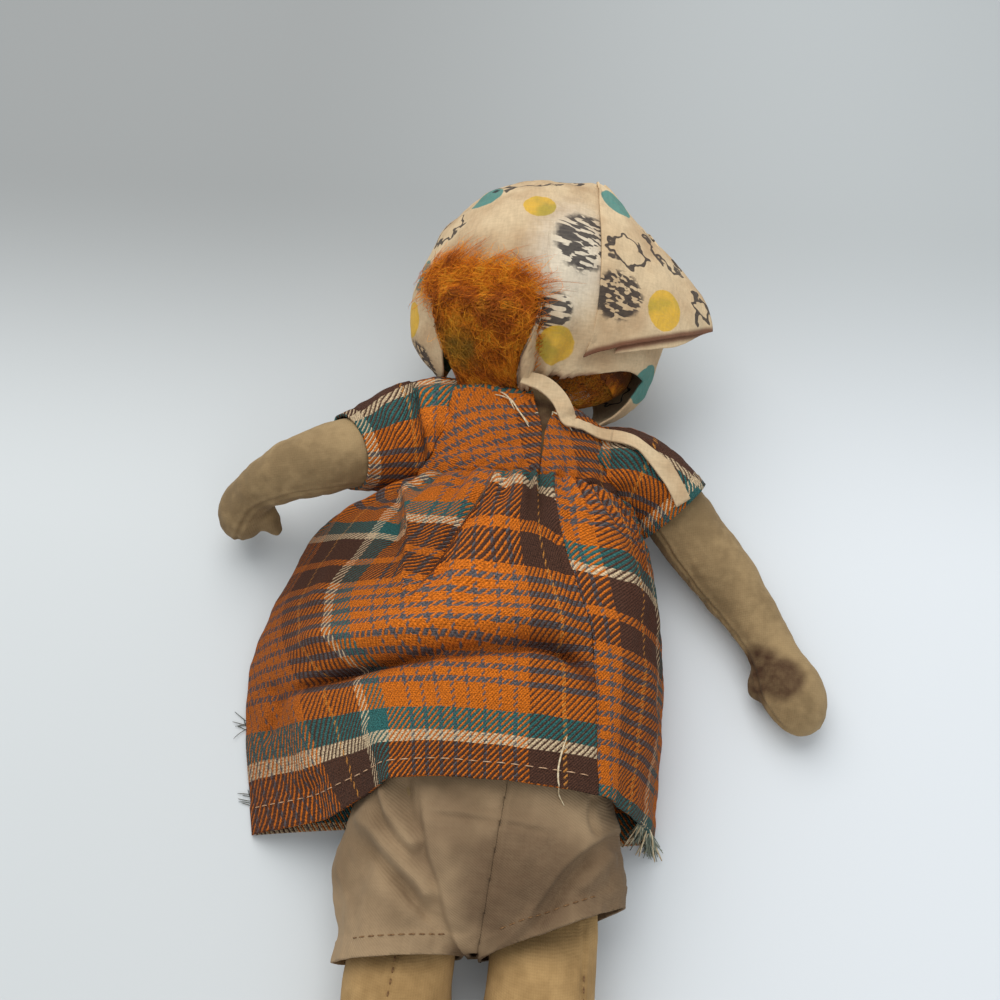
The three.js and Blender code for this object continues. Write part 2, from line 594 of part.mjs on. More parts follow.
function seatRing(y, grow, thick) {
  const top = y > HIP_Y + 22 ? torsoMiddle(y) + torsoDeep(y) : seatTop(y);
  const middle = y > HIP_Y + 22 ? torsoMiddle(y) : (top + BODY_LIFT) / 2;
  return steps(0, 360, 22).slice(0, -1).map((angle) =>
    vec(
      lean(y) + (torsoWide(Math.max(y, HIP_Y + 10)) + grow + seatBag(y)) * Math.cos(rad(angle)),
      y,
      Math.max(middle + (top - middle + grow) * Math.sin(rad(angle)), bloomersUnder(y) + thick),
    ),
  );
}
function seatFilled(grow, thick, open) {
  const stations = [0, 0.25, 0.5, 0.64, 0.75, 0.84, 0.92, 1];
  const rings = stations.map((share) => seatRing(between(WAIST_Y, CROTCH_Y + open, share), grow, thick));
  if (open) rings.unshift(rings[0].map((p) => vec(p.x, p.y + 2, p.z)));
  return loft(rings);
}
function cuffFilled(side, grow, thick, open) {
  const [cuff, tilt] = side < 0 ? [CUFF_LEFT_Y, 0.05] : [CUFF_RIGHT_Y - 10, 0];
  const rings = [0, 0.5, 1].map((share) => {
    const y = between(HIP_Y + 12, cuff - open, share);
    const radius = CUFF_RADIUS + grow - (1 - share) * 1.5;
    return steps(0, TURN, 20).slice(1).map((a) => {
      const x = radius * Math.cos(a) * (1 - 0.05 * (1 - share));
      return vec(side * (LEG_X + 1.2) + x, y + tilt * share * x, Math.max(CUFF_RADIUS + radius * Math.sin(a), thick));
    });
  });
  return loft(rings);
}
function bloomers() {
  const outer = joined(seatFilled(EASE + LINEN, 0, 0), cuffFilled(-1, 0, 0, 0), cuffFilled(1, 0, 0, 0));
  const inner = joined(seatFilled(EASE, LINEN, LINEN), cuffFilled(-1, -LINEN, LINEN, 3), cuffFilled(1, -LINEN, LINEN, 3));
  const shell = outer.subtract(inner);
  const cuffLine = [[1, -30], [FAR, -30 + CUFF_TILT * FAR], [FAR, -FAR], [1, -FAR]];
  const below = loft([-FAR, FAR].map((z) => cuffLine.map(([x, y]) => vec(x, y + rightCuff(0) + 30, z))));
  return {
    left: whole(shell.intersect(leftOf(-AIR / 2))),
    right: whole(shell.intersect(rightOf(AIR / 2)).subtract(below)),
  };
}
function elastic() {
  const [top, low] = [WAIST_Y - 2, WAIST_Y - 2 - ELASTIC_WIDTH];
  const band = (grow) => [low, top].map((y) => torsoRing(y, grow));
  return loft([...band(AIR + 0.2 + ELASTIC_THICKNESS), ...band(AIR + 0.2).reverse()], true);
}

// Kerchief: how far down the hood reaches at each turn. It has slipped off the hair at the back left.
const hoodEdge = profile(
  [0, 143],
  [30, 148],
  [60, 153],
  [80, 152],
  [88, 114],
  [114, 109],
  [141, 97],
  [150, 99],
  [158, 126],
  [180, 132],
  [205, 118],
  [235, 88],
  [255, 60],
  [270, 52],
  [285, 60],
  [305, 88],
  [335, 130],
  [360, 143],
);
const hoodTurns = [
  0, 15, 30, 45, 60, 72, 81, 85, 89, 100, 114, 128, 140, 150, 155, 161, 172, 185, 200, 216, 232, 246, 262, 280, 298, 314, 330, 345,
];
const aside = (turn, place) => Math.abs(((turn - place + 540) % 360) - 180);
// The cloth stands off the head at the nape, puffs over the crown and lies close elsewhere.
function puff(turn, fall) {
  const nape = bump(aside(turn, 2), 0, 30) * (8 * smooth(fall, 60, 104) + 7 * smooth(fall, 115, 140));
  const crown = 4 * bump(aside(turn, 45), 0, 30) * bump(fall, 50, 22) + 1.5 * bump(aside(turn, 125), 0, 35) * bump(fall, 55, 25);
  const left = 7 * bump(aside(turn, 178), 0, 24) * smooth(fall, 70, 125);
  return (nape + crown + left) * smooth(fall, 0, 20);
}
const CHORD = 1.2; // how far flat facets can cut inside the round of the head
const HOOD_IN = AIR + HAIR_UNDER + CHORD / 2 + AIR + CHORD;
const hoodSheet = (turn, share, depth) => {
  const fall = share * hoodEdge(turn);
  return onHead(turn, fall, HOOD_IN + LINEN + puff(turn, fall) - depth);
};
const hood = () => cloth(hoodSheet, LINEN, hoodTurns, [0, 0.16, 0.33, 0.5, 0.66, 0.8, 0.91, 1], true);

// The hair: thin under the kerchief, a loose tuft where the kerchief leaves it free.
const hairEdge = profile([-35, 128], [20, 146], [60, 150], [95, 158], [140, 155], [170, 142], [200, 130], [215, 118]);
function hairSheet(turn, share, depth) {
  const fall = between(16, hairEdge(turn), share);
  const free = smooth(fall - hoodEdge((turn + 360) % 360), 3, 16) * smooth(turn, 89, 99) * (1 - smooth(turn, 143, 151));
  const tuft = HAIR_LOOSE - 1 + Math.cos(rad(turn) * 9 + fall / 9);
  const thick = HAIR_UNDER + free * tuft * (1 - 0.55 * smooth(share, 0.85, 1));
  return onHead(turn, fall, depth ? AIR + CHORD : AIR + thick + CHORD / 2);
}
const hairTurns = [-35, -15, 5, 25, 45, 64, 78, 87, 94, 102, 111, 120, 129, 138, 146, 153, 161, 175, 195, 215];
const hair = () => cloth(hairSheet, 1, hairTurns, [0, 0.2, 0.4, 0.55, 0.65, 0.74, 0.83, 0.92, 1]);

// The loose corner of the kerchief, folded back over the right of the hood to a point.
function wingSheet(u, v, depth) {
  const crease = [profile([0, 50], [0.5, 58], [1, 12]), profile([0, 58], [0.5, 100], [1, 122])];
  const edge = [profile([0, 46], [0.5, 20], [1, 3]), profile([0, 57], [0.5, 79], [1, 102])];
  const turn = between(crease[0](v), edge[0](v), u);
  const fall = between(crease[1](v), edge[1](v), u);
  const reach = profile([0, 0], [0.5, WING_REACH * 0.15], [1, WING_REACH])(v);
  const stand = HOOD_IN + 2 * LINEN + AIR + 0.5 + puff(turn, fall) + reach * u ** 1.6;
  return onHead(turn, fall, stand - depth);
}
const wing = () => cloth(wingSheet, LINEN, steps(0, 1, 6), steps(0.02, 1, 8));

const placed = new THREE.Group();
function add(name, solid, colour, detail = 0.06) {
  const material = new THREE.MeshStandardMaterial({ color: colour, roughness: 0.9, metalness: 0 });
  const mesh = new THREE.Mesh(geometryOf(solid, detail), material);
  mesh.name = name;
  placed.add(mesh);
  return mesh;
}

const COLOURS = { cotton: 0xb08f66, stuffing: 0xe8e0cc, plaid: 0xa5551f, linen: 0xad9a80, print: 0xd6bf9c, hair: 0xb8661a };
add("torso_skin", torsoSkin(), COLOURS.cotton);
add("torso_stuffing", whole(torsoFilled(STUFFED, torsoStations.slice(2, -1))), COLOURS.stuffing, 0.1);
add("head_skin", headSkin(), COLOURS.cotton);
add("head_stuffing", headStuffing(), COLOURS.stuffing, 0.1);
for (const side of ["left", "right"]) {
  add(`arm_${side}_skin`, armSkin(side), COLOURS.cotton);
  add(`arm_${side}_stuffing`, arms[side].filled(STUFFED, 0.05, 0.98).intersect(above(-STUFFED)), COLOURS.stuffing, 0.1);
  add(`shoulder_seam_${side}`, shoulderSeam(side), COLOURS.cotton);
  add(`hip_seam_${side}`, hipSeam(side), COLOURS.cotton);
  add(`leg_${side}_skin`, whole(legs[side].skin().intersect(aboveFloor)), COLOURS.cotton);
  add(`leg_${side}_stuffing`, legs[side].filled(STUFFED, 0.03, 0.98).intersect(above(-STUFFED)), COLOURS.stuffing, 0.1);
}

const yoke = bodicePanels();
add("bodice_front", yoke.front, COLOURS.plaid);
add("bodice_back_left", yoke.left, COLOURS.plaid);
const underTie = [add("bodice_back_right", yoke.right, COLOURS.plaid)];
add("sleeve_left", sleeve("left"), COLOURS.plaid);
underTie.push(add("sleeve_right", sleeve("right"), COLOURS.plaid));
add("skirt_back", panel(SEAM_RAIL + SEAM_GAP, LEFT_RAIL - SEAM_GAP, 24), COLOURS.plaid);
add("skirt_side", panel(SEAM_GAP, SEAM_RAIL - SEAM_GAP, 12), COLOURS.plaid);
add("skirt_front", panel(LEFT_RAIL + 7 * SEAM_GAP, rails.length - 5 * SEAM_GAP, 8), COLOURS.plaid);

const shorts = bloomers();
add("bloomers_left", shorts.left, COLOURS.linen);
add("bloomers_right", shorts.right, COLOURS.linen);
add("waist_elastic", elastic(), 0xefe8da);

add("hair", hair(), COLOURS.hair);
add("kerchief_hood", hood(), COLOURS.print);
add("kerchief_wing", wing(), COLOURS.print);

// The tie: a ribbon from under the hood over the right shoulder, laid on whatever is below it.
const tieLine = new THREE.CatmullRomCurve3(
  [[-5, 122.5, 58], [3, 118.5, 57], [11, 111, 55], [27, 107, 0], [44, 105, 0], [52.5, 99.5, 0], [59.5, 93, 0], [65.5, 87, 0]].map(
    ([x, y, z]) => vec(x, y, z),
  ),
);
function tieSheet(u, v, depth) {
  const at = tieLine.getPoint(v);
  const ahead = tieLine.getTangent(v).setZ(0).normalize();
  const width = TIE_WIDTH * (1 + 0.25 * Math.sin(9 * v));
  const spot = vec(at.x - ahead.y * u * width, at.y + ahead.x * u * width, FAR);
  const hit = new THREE.Raycaster(spot, vec(0, 0, -1)).intersectObjects(underTie)[0];
  const rest = hit ? hit.point.z : 0;
  return vec(spot.x, spot.y, Math.max(rest + AIR + 0.35, at.z) + LINEN - depth);
}
add("kerchief_tie", cloth(tieSheet, LINEN, [-0.5, 0, 0.5], steps(0, 1, 18)), COLOURS.print);

export default placed;
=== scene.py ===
# %% [markdown]
# A rag doll on its front
#
# The doll is sewn from cotton and stuffed, and it lies on its face, so its back is what we look at.
# Its pieces were laid out at their real size before this script starts. We load that layout as a fixed
# frame and give each soft piece its own fine surface: stuffed cloth, a plaid dress with gathers,
# bloomers, a slipped kerchief and a tuft of mohair. Work here is in millimetres, turned to Blender's
# metres when a mesh is made.

# %% Load the doll's frame
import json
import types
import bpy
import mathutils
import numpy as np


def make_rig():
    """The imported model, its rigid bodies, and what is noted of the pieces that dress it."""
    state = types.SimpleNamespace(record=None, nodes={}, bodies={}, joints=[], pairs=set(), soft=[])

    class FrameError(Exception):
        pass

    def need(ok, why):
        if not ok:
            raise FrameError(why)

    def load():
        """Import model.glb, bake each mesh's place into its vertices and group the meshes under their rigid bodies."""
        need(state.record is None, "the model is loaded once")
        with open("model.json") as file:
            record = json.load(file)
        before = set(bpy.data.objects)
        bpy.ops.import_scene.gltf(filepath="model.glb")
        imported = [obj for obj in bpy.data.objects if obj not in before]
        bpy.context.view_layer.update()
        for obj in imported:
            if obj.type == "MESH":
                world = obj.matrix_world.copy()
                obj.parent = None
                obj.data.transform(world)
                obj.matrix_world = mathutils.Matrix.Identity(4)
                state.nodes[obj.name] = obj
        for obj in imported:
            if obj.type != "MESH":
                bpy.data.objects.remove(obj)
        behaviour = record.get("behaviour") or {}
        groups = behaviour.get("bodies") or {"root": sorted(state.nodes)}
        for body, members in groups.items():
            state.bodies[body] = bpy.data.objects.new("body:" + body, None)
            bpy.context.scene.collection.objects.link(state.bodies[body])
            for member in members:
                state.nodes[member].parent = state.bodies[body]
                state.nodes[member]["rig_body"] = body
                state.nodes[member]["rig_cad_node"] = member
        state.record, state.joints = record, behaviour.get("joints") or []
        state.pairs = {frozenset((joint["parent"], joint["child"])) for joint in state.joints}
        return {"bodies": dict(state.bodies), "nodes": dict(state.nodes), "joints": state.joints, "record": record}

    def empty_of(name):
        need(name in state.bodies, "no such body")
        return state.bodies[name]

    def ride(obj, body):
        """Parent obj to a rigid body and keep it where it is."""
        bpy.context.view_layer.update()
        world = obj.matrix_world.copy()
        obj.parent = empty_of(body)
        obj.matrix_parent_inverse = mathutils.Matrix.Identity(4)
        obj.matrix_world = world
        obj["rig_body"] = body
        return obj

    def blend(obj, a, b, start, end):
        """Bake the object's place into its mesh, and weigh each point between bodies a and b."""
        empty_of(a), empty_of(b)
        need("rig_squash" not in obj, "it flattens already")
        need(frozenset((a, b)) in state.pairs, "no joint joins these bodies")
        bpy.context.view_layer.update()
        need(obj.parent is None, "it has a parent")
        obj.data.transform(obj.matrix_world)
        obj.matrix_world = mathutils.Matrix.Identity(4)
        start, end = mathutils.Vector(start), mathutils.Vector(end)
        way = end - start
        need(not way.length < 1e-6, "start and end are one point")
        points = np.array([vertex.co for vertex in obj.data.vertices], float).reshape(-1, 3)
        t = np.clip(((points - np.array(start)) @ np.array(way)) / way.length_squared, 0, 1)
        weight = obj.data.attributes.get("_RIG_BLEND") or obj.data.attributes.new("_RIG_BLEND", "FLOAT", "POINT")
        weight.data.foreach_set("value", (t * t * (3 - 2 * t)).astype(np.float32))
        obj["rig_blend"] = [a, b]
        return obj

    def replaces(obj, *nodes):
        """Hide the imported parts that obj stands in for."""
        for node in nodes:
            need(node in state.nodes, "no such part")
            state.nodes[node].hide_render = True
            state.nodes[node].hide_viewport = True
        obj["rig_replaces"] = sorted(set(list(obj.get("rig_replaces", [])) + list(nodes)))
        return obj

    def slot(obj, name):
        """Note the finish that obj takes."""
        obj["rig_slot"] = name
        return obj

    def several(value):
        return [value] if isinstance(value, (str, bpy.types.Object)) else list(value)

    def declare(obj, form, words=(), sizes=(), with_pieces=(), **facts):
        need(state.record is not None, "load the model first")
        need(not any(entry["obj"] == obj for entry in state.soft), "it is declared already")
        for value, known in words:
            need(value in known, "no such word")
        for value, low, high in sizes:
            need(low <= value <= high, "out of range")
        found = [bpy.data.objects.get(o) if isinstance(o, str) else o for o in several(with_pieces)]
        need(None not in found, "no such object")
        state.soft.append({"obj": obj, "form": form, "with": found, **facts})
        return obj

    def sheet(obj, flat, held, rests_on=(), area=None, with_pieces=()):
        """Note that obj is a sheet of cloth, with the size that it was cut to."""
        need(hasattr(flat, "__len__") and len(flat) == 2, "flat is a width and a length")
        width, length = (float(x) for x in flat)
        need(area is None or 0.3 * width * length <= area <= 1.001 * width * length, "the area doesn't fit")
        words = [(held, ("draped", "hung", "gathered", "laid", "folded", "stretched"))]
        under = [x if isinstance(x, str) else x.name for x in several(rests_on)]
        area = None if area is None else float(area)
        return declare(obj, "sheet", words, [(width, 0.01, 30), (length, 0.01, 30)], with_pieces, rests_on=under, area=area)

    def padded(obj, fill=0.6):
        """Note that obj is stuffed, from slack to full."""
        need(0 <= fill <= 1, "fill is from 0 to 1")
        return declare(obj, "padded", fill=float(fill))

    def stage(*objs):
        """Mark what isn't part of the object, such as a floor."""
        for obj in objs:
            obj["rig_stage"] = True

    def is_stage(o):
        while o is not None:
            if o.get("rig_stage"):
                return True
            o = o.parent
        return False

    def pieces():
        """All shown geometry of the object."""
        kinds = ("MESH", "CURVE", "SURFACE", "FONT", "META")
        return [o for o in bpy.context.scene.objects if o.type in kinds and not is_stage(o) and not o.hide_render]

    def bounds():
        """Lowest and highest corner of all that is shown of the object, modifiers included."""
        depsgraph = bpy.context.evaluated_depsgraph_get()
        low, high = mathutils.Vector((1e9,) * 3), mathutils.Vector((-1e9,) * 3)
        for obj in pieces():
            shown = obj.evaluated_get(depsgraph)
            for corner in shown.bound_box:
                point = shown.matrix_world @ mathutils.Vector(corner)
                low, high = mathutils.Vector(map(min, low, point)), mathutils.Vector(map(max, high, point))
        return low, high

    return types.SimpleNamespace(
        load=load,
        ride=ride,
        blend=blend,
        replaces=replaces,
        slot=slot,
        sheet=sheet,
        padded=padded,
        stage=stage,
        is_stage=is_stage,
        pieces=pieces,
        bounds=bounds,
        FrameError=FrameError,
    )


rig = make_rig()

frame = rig.load()
import json
import math
import bmesh
import bpy
import numpy as np
from mathutils import Vector
from mathutils.bvhtree import BVHTree

MM = 0.001
cad_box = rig.bounds()
hinge = {j["name"]: np.array(j["pos_m"]) / MM for j in frame["joints"] if "pos_m" in j}
print("pieces in the frame:", len(frame["nodes"]), "hinges:", sorted(hinge))

# %% [markdown]
# Curves and surfaces
#
# Every piece here is a grid of points: some way across and some way along. A formula places the points,
# so a seam, a fold or a row of stitches can be found again by its place on the cloth. Smooth curves
# through a few chosen sizes take the part of hand-drawn patterns. Sculpting by hand could give the same
# forms, but nothing else could then ask how high the cloth lies at a place.

# %% Smooth steps, bumps and curves through chosen sizes
def between(a, b, t):
    return a + (b - a) * t


def smooth(x, low, high):
    t = np.clip((np.asarray(x, float) - low) / (high - low), 0, 1)
    return t * t * (3 - 2 * t)


def bump(x, place, width):
    return np.exp(-(((x - place) / width) ** 2))


def profile(*stations):
    """A smooth curve through [place, value] pairs, held level beyond both ends."""
    at, value = np.array(stations, float).T
    slope = np.empty_like(value)
    slope[1:-1] = (value[2:] - value[:-2]) / (at[2:] - at[:-2])
    slope[0] = (value[1] - value[0]) / (at[1] - at[0])
    slope[-1] = (value[-1] - value[-2]) / (at[-1] - at[-2])

    def curve(x):
        x = np.clip(np.asarray(x, float), at[0], at[-1])
        i = np.clip(np.searchsorted(at, x, side="right") - 1, 0, len(at) - 2)
        span = at[i + 1] - at[i]
        t = (x - at[i]) / span
        rise = value[i] * (1 + 2 * t) * (1 - t) ** 2 + value[i + 1] * t * t * (3 - 2 * t)
        return rise + span * t * (1 - t) * (slope[i] * (1 - t) - slope[i + 1] * t)

    return curve


def unit(v):
    return v / np.maximum(np.linalg.norm(v, axis=-1, keepdims=True), 1e-9)


def grid_of(*axes):
    return np.meshgrid(*axes, indexing="ij")


def stack(*columns):
    """Points from their x, y and z, or places on a flat pattern from x and y alone."""
    return np.stack(np.broadcast_arrays(*columns), axis=-1).astype(float)


def parts(points):
    """The x, the y and the z of points, each as an array of its own."""
    return np.moveaxis(points, -1, 0)


def no_lower(points, level):
    x, y, z = parts(points)
    return stack(x, y, np.maximum(z, level))


print("a curve through 1, 3, 2 reads", profile([0, 1], [1, 3], [2, 2])(np.array([0.5, 1.5])))

# %% A smooth path through points in space, measured by its own length
def summed(steps):
    """How far along each point is, from the steps between them; the first is at 0."""
    return np.concatenate([np.zeros((1, *steps.shape[1:])), np.cumsum(steps, axis=0)])


class Path:
    def __init__(self, points, count=40):
        p = np.array(points, float)
        p = np.vstack([2 * p[0] - p[1], p, 2 * p[-1] - p[-2]])
        t = np.linspace(0, 1, count, endpoint=False)[:, None]
        runs = []
        for i in range(1, len(p) - 2):
            a, b, c, d = p[i - 1 : i + 3]
            u, v, w = (np.linalg.norm(q) ** 0.5 for q in (b - a, c - b, d - c))
            m = ((b - a) / u - (c - a) / (u + v) + (c - b) / v) * v
            n = ((c - b) / v - (d - b) / (v + w) + (d - c) / w) * v
            runs.append(b + m * t + (3 * (c - b) - 2 * m - n) * t**2 + (2 * (b - c) + m + n) * t**3)
        self.line = np.vstack([*runs, p[-2]])
        steps = np.linalg.norm(np.diff(self.line, axis=0), axis=1)
        self.run = summed(steps)
        self.length = self.run[-1]

    def at(self, share):
        way = np.asarray(share, float) * self.length
        return np.stack([np.interp(way, self.run, column) for column in self.line.T], axis=-1)

    def ahead(self, share):
        share = np.asarray(share, float)
        return unit(self.at(np.minimum(share + 0.01, 1)) - self.at(np.maximum(share - 0.01, 0)))


# %% Ripples and creases, to press into a surface
WAVES = 14


def ripples(points, size, seed, lie=(1, 1, 1)):
    """Gentle unevenness: a few seeded waves of about one size, running any way; from about -1 to 1."""
    dice = np.random.default_rng(seed)
    total = np.zeros(points.shape[:-1])
    for _ in range(WAVES):
        way = unit(dice.normal(size=3)) * np.array(lie) * (2 * math.pi / (size * dice.uniform(0.6, 1.6)))
        total += np.sin(points @ way + dice.uniform(0, 2 * math.pi))
    return total / math.sqrt(WAVES)


def nearest(points, line):
    """The distance to a line, and how far along it that is; a line of x and y is seen from above."""
    line = np.array(line, float)
    if len(line) > 2:
        line = Path(line, 6).line
    p = points[..., : line.shape[1]]
    best = np.full(points.shape[:-1], np.inf)
    share = np.zeros(points.shape[:-1])
    for i in range(len(line) - 1):
        step = line[i + 1] - line[i]
        t = np.clip(((p - line[i]) @ step) / max(step @ step, 1e-9), 0, 1)
        away = np.linalg.norm(p - line[i] - t[..., None] * step, axis=-1)
        closer = away < best
        best = np.where(closer, away, best)
        share = np.where(closer, (i + t) / (len(line) - 1), share)
    return best, share


def crease(points, line, width, height, ends=0.25):
    away, share = nearest(points, line)
    fade = smooth(share, 0, ends) * (1 - smooth(share, 1 - ends, 1)) if ends else 1
    return height * np.exp(-((away / width) ** 2)) * fade


# %% [markdown]
# From a grid to a mesh
#
# Cloth has a thickness, so a sheet is made as two layers joined round the rim, which keeps it a closed
# solid. Each sheet also keeps its flat cutting pattern, in millimetres, as a UV map called cloth: the
# weave, the stripes and the stitches follow the pattern, and so they follow every fold. A Solidify
# modifier gives a thickness too, but it can't keep the under side off the table.

# %% New objects
made = {}


def new_mesh(name, points, faces, pattern=None, material=None):
    """An object from points in millimetres; pattern holds a flat cloth place for each corner of a face."""
    mesh = bpy.data.meshes.new(name)
    mesh.from_pydata((np.asarray(points) * MM).tolist(), [], [list(f) for f in faces])
    if pattern is not None:
        layer = mesh.uv_layers.new(name="cloth")
        layer.data.foreach_set("uv", np.asarray(pattern, np.float32).ravel())
    mesh.validate()
    mesh.polygons.foreach_set("use_smooth", [True] * len(mesh.polygons))
    if material is not None:
        mesh.materials.append(material)
    return placed(name, mesh)


def told(*names):
    print({name: len(made[name].data.vertices) for name in names}, "points")


def placed(name, mesh):
    """Puts a mesh in the scene. The plain solids own the bare names, so ours start with sewn."""
    piece = bpy.data.objects.new("sewn_" + name, mesh)
    bpy.context.scene.collection.objects.link(piece)
    made[name] = piece
    return piece


def removed(piece):
    for name in [name for name, other in made.items() if other == piece]:
        del made[name]
    bpy.data.objects.remove(piece)

# %% Which way a grid faces, and the corners of its cells
def facing(grid, wrap=False):
    """The way each point of a grid faces."""
    across = np.roll(grid, -1, 0) - np.roll(grid, 1, 0) if wrap else np.gradient(grid, axis=0)
    return unit(np.cross(across, np.gradient(grid, axis=1)))


def cells(m, n, wrap):
    """The four corners of each cell of a grid, as rows of point numbers and as rows of pattern numbers."""
    i, j = grid_of(np.arange(m if wrap else m - 1), np.arange(n - 1))
    i, j = i.ravel(), j.ravel()
    corners = [(i, j), (i + 1, j), (i + 1, j + 1), (i, j + 1)]
    points = np.stack([(a % m) * n + b for a, b in corners], axis=1)
    return points, np.stack([a * n + b for a, b in corners], axis=1)

# %% The skin of a stuffed part
JOIN_GAP = 0.02


def skin(name, grid, material):
    """A surface with no thickness, closed round, for cloth that is stuffed hard from inside."""
    faces, _ = cells(*grid.shape[:2], True)
    piece = new_mesh(name, grid.reshape(-1, 3), faces, material=material)
    work = bmesh.new()
    work.from_mesh(piece.data)
    bmesh.ops.remove_doubles(work, verts=work.verts, dist=JOIN_GAP * MM)
    bmesh.ops.dissolve_degenerate(work, edges=work.edges, dist=JOIN_GAP * MM / 4)
    bmesh.ops.recalc_face_normals(work, faces=work.faces)
    work.to_mesh(piece.data)
    work.free()
    return piece

# %% A sheet of cloth
def cloth(name, grid, pattern, wall, material, wrap=False, keep=None, floor=None, inside=None):
    """A sheet of real thickness with the grid as its outer face. keep picks cells by their middle points."""
    m, n = grid.shape[:2]
    if inside is not None and np.mean(np.sum(facing(grid, wrap) * (grid - inside), -1)) < 0:
        grid, pattern = grid[:, ::-1], pattern[:, ::-1]
    inner = grid - facing(grid, wrap) * wall
    if floor is not None:
        grid, inner = no_lower(grid, floor), no_lower(inner, floor + wall)
    faces, places = cells(m, n, wrap)
    if keep is not None:
        chosen = keep(grid.reshape(-1, 3)[faces].mean(axis=1))
        faces, places = faces[chosen], places[chosen]
    flat = pattern.reshape(-1, 2)
    edges = np.concatenate([np.stack([faces[:, k], faces[:, (k + 1) % 4]], 1) for k in range(4)])
    spots = np.concatenate([np.stack([places[:, k], places[:, (k + 1) % 4]], 1) for k in range(4)])
    low, high = np.sort(edges, axis=1).astype(np.int64).T
    _, first, uses = np.unique(low * m * n + high, return_index=True, return_counts=True)
    rim, rim_spots = edges[first[uses == 1]], spots[first[uses == 1]]
    under = faces[:, ::-1] + m * n
    side = np.stack([rim[:, 1], rim[:, 0], rim[:, 0] + m * n, rim[:, 1] + m * n], axis=1)
    every = np.concatenate([faces, under, side])
    where = np.concatenate([places, places[:, ::-1], rim_spots[:, [1, 0, 0, 1]]])
    points = np.concatenate([grid.reshape(-1, 3), inner.reshape(-1, 3)])
    used, renumbered = np.unique(every, return_inverse=True)
    return new_mesh(name, points[used], renumbered.reshape(-1, 4), flat[where].reshape(-1, 2), material)


# %% Thin round things: threads, stitches and hair
def tubes(name, lines, radius, material, sides=5, taper=0.0):
    """Each line is a row of points with equal counts; taper thins the tube towards its ends."""
    lines = np.asarray(lines, float)
    count, steps = lines.shape[:2]
    ahead = unit(np.gradient(lines, axis=1))
    lift = np.where(np.abs(ahead[..., 2:]) < 0.9, np.array([0, 0, 1.0]), np.array([1.0, 0, 0]))
    left = unit(np.cross(lift, ahead))
    up = np.cross(ahead, left)
    share = np.linspace(0, 1, steps)
    thick = np.asarray(radius, float).reshape(-1, 1) * (1 - taper * (2 * np.abs(share - 0.5)) ** 3)
    turn = np.arange(sides) * 2 * math.pi / sides
    ring = left[:, :, None] * np.cos(turn)[:, None] + up[:, :, None] * np.sin(turn)[:, None]
    points = (lines[:, :, None] + ring * thick[:, :, None, None]).reshape(-1, 3)
    s, k, j = grid_of(np.arange(count), np.arange(steps - 1), np.arange(sides))

    def at(row, col):
        return (s * steps + row) * sides + col % sides

    walls = np.stack([at(k, j), at(k + 1, j), at(k + 1, j + 1), at(k, j + 1)], -1).reshape(-1, 4)
    first = np.arange(count)[:, None] * steps * sides
    ends = [first + np.arange(sides)[None, :], first + (steps - 1) * sides + np.arange(sides)[None, ::-1]]
    faces = walls.tolist() + [row for end in ends for row in end.tolist()]
    dice = np.random.default_rng(len(lines)).random(count)
    pattern = [(dice[f[0] // (steps * sides)], (f[0] // sides % steps) / steps) for f in faces for _ in f]
    return new_mesh(name, points, faces, np.array(pattern), material)


# %% [markdown]
# Shader maths in plain Python
#
# A cloth colour is a sum of many small effects: stripes, ribs, soil, slubs. Wrapping a socket in a small
# class lets us write those sums as ordinary expressions, and each operator adds its Math node.

# %% A socket that can be used in expressions
class Wire:
    def __init__(self, socket):
        self.socket = socket
        self.tree = socket.id_data

    def math(self, operation, *others):
        return worked_out(self.tree, operation, self, *others)

    def __add__(self, other):
        return self.math("ADD", other)

    def __sub__(self, other):
        return self.math("SUBTRACT", other)

    def __mul__(self, other):
        return self.math("MULTIPLY", other)

    def __truediv__(self, other):
        return self.math("DIVIDE", other)

    def __rsub__(self, other):
        return worked_out(self.tree, "SUBTRACT", other, self)

    __radd__ = __add__
    __rmul__ = __mul__

    def fract(self):
        return self.math("FRACT")

    def ribs(self, pitch):
        """Rows that rise and fall once in each pitch, from 0 to 1."""
        return (self * (2 * math.pi / pitch)).math("SINE") * 0.5 + 0.5

    def size(self):
        return self.math("ABSOLUTE")

    def clamp(self):
        return self.math("MINIMUM", 1.0).math("MAXIMUM", 0.0)


def worked_out(tree, operation, *values):
    """Adds a Math node for these values."""
    node = tree.nodes.new("ShaderNodeMath")
    node.operation = operation
    for place, value in zip(node.inputs, values):
        join(place, value)
    return Wire(node.outputs[0])


def join(socket, value):
    if isinstance(value, Wire):
        socket.id_data.links.new(value.socket, socket)
    else:
        socket.default_value = value

# %% A finish holds the nodes of one material
def rgb(red, green, blue):
    """A colour as it is written on a screen, 0 to 255, turned to Blender's linear light."""
    linear = [((c / 255 + 0.055) / 1.055) ** 2.4 if c > 10 else c / 255 / 12.92 for c in (red, green, blue)]
    return (*linear, 1.0)


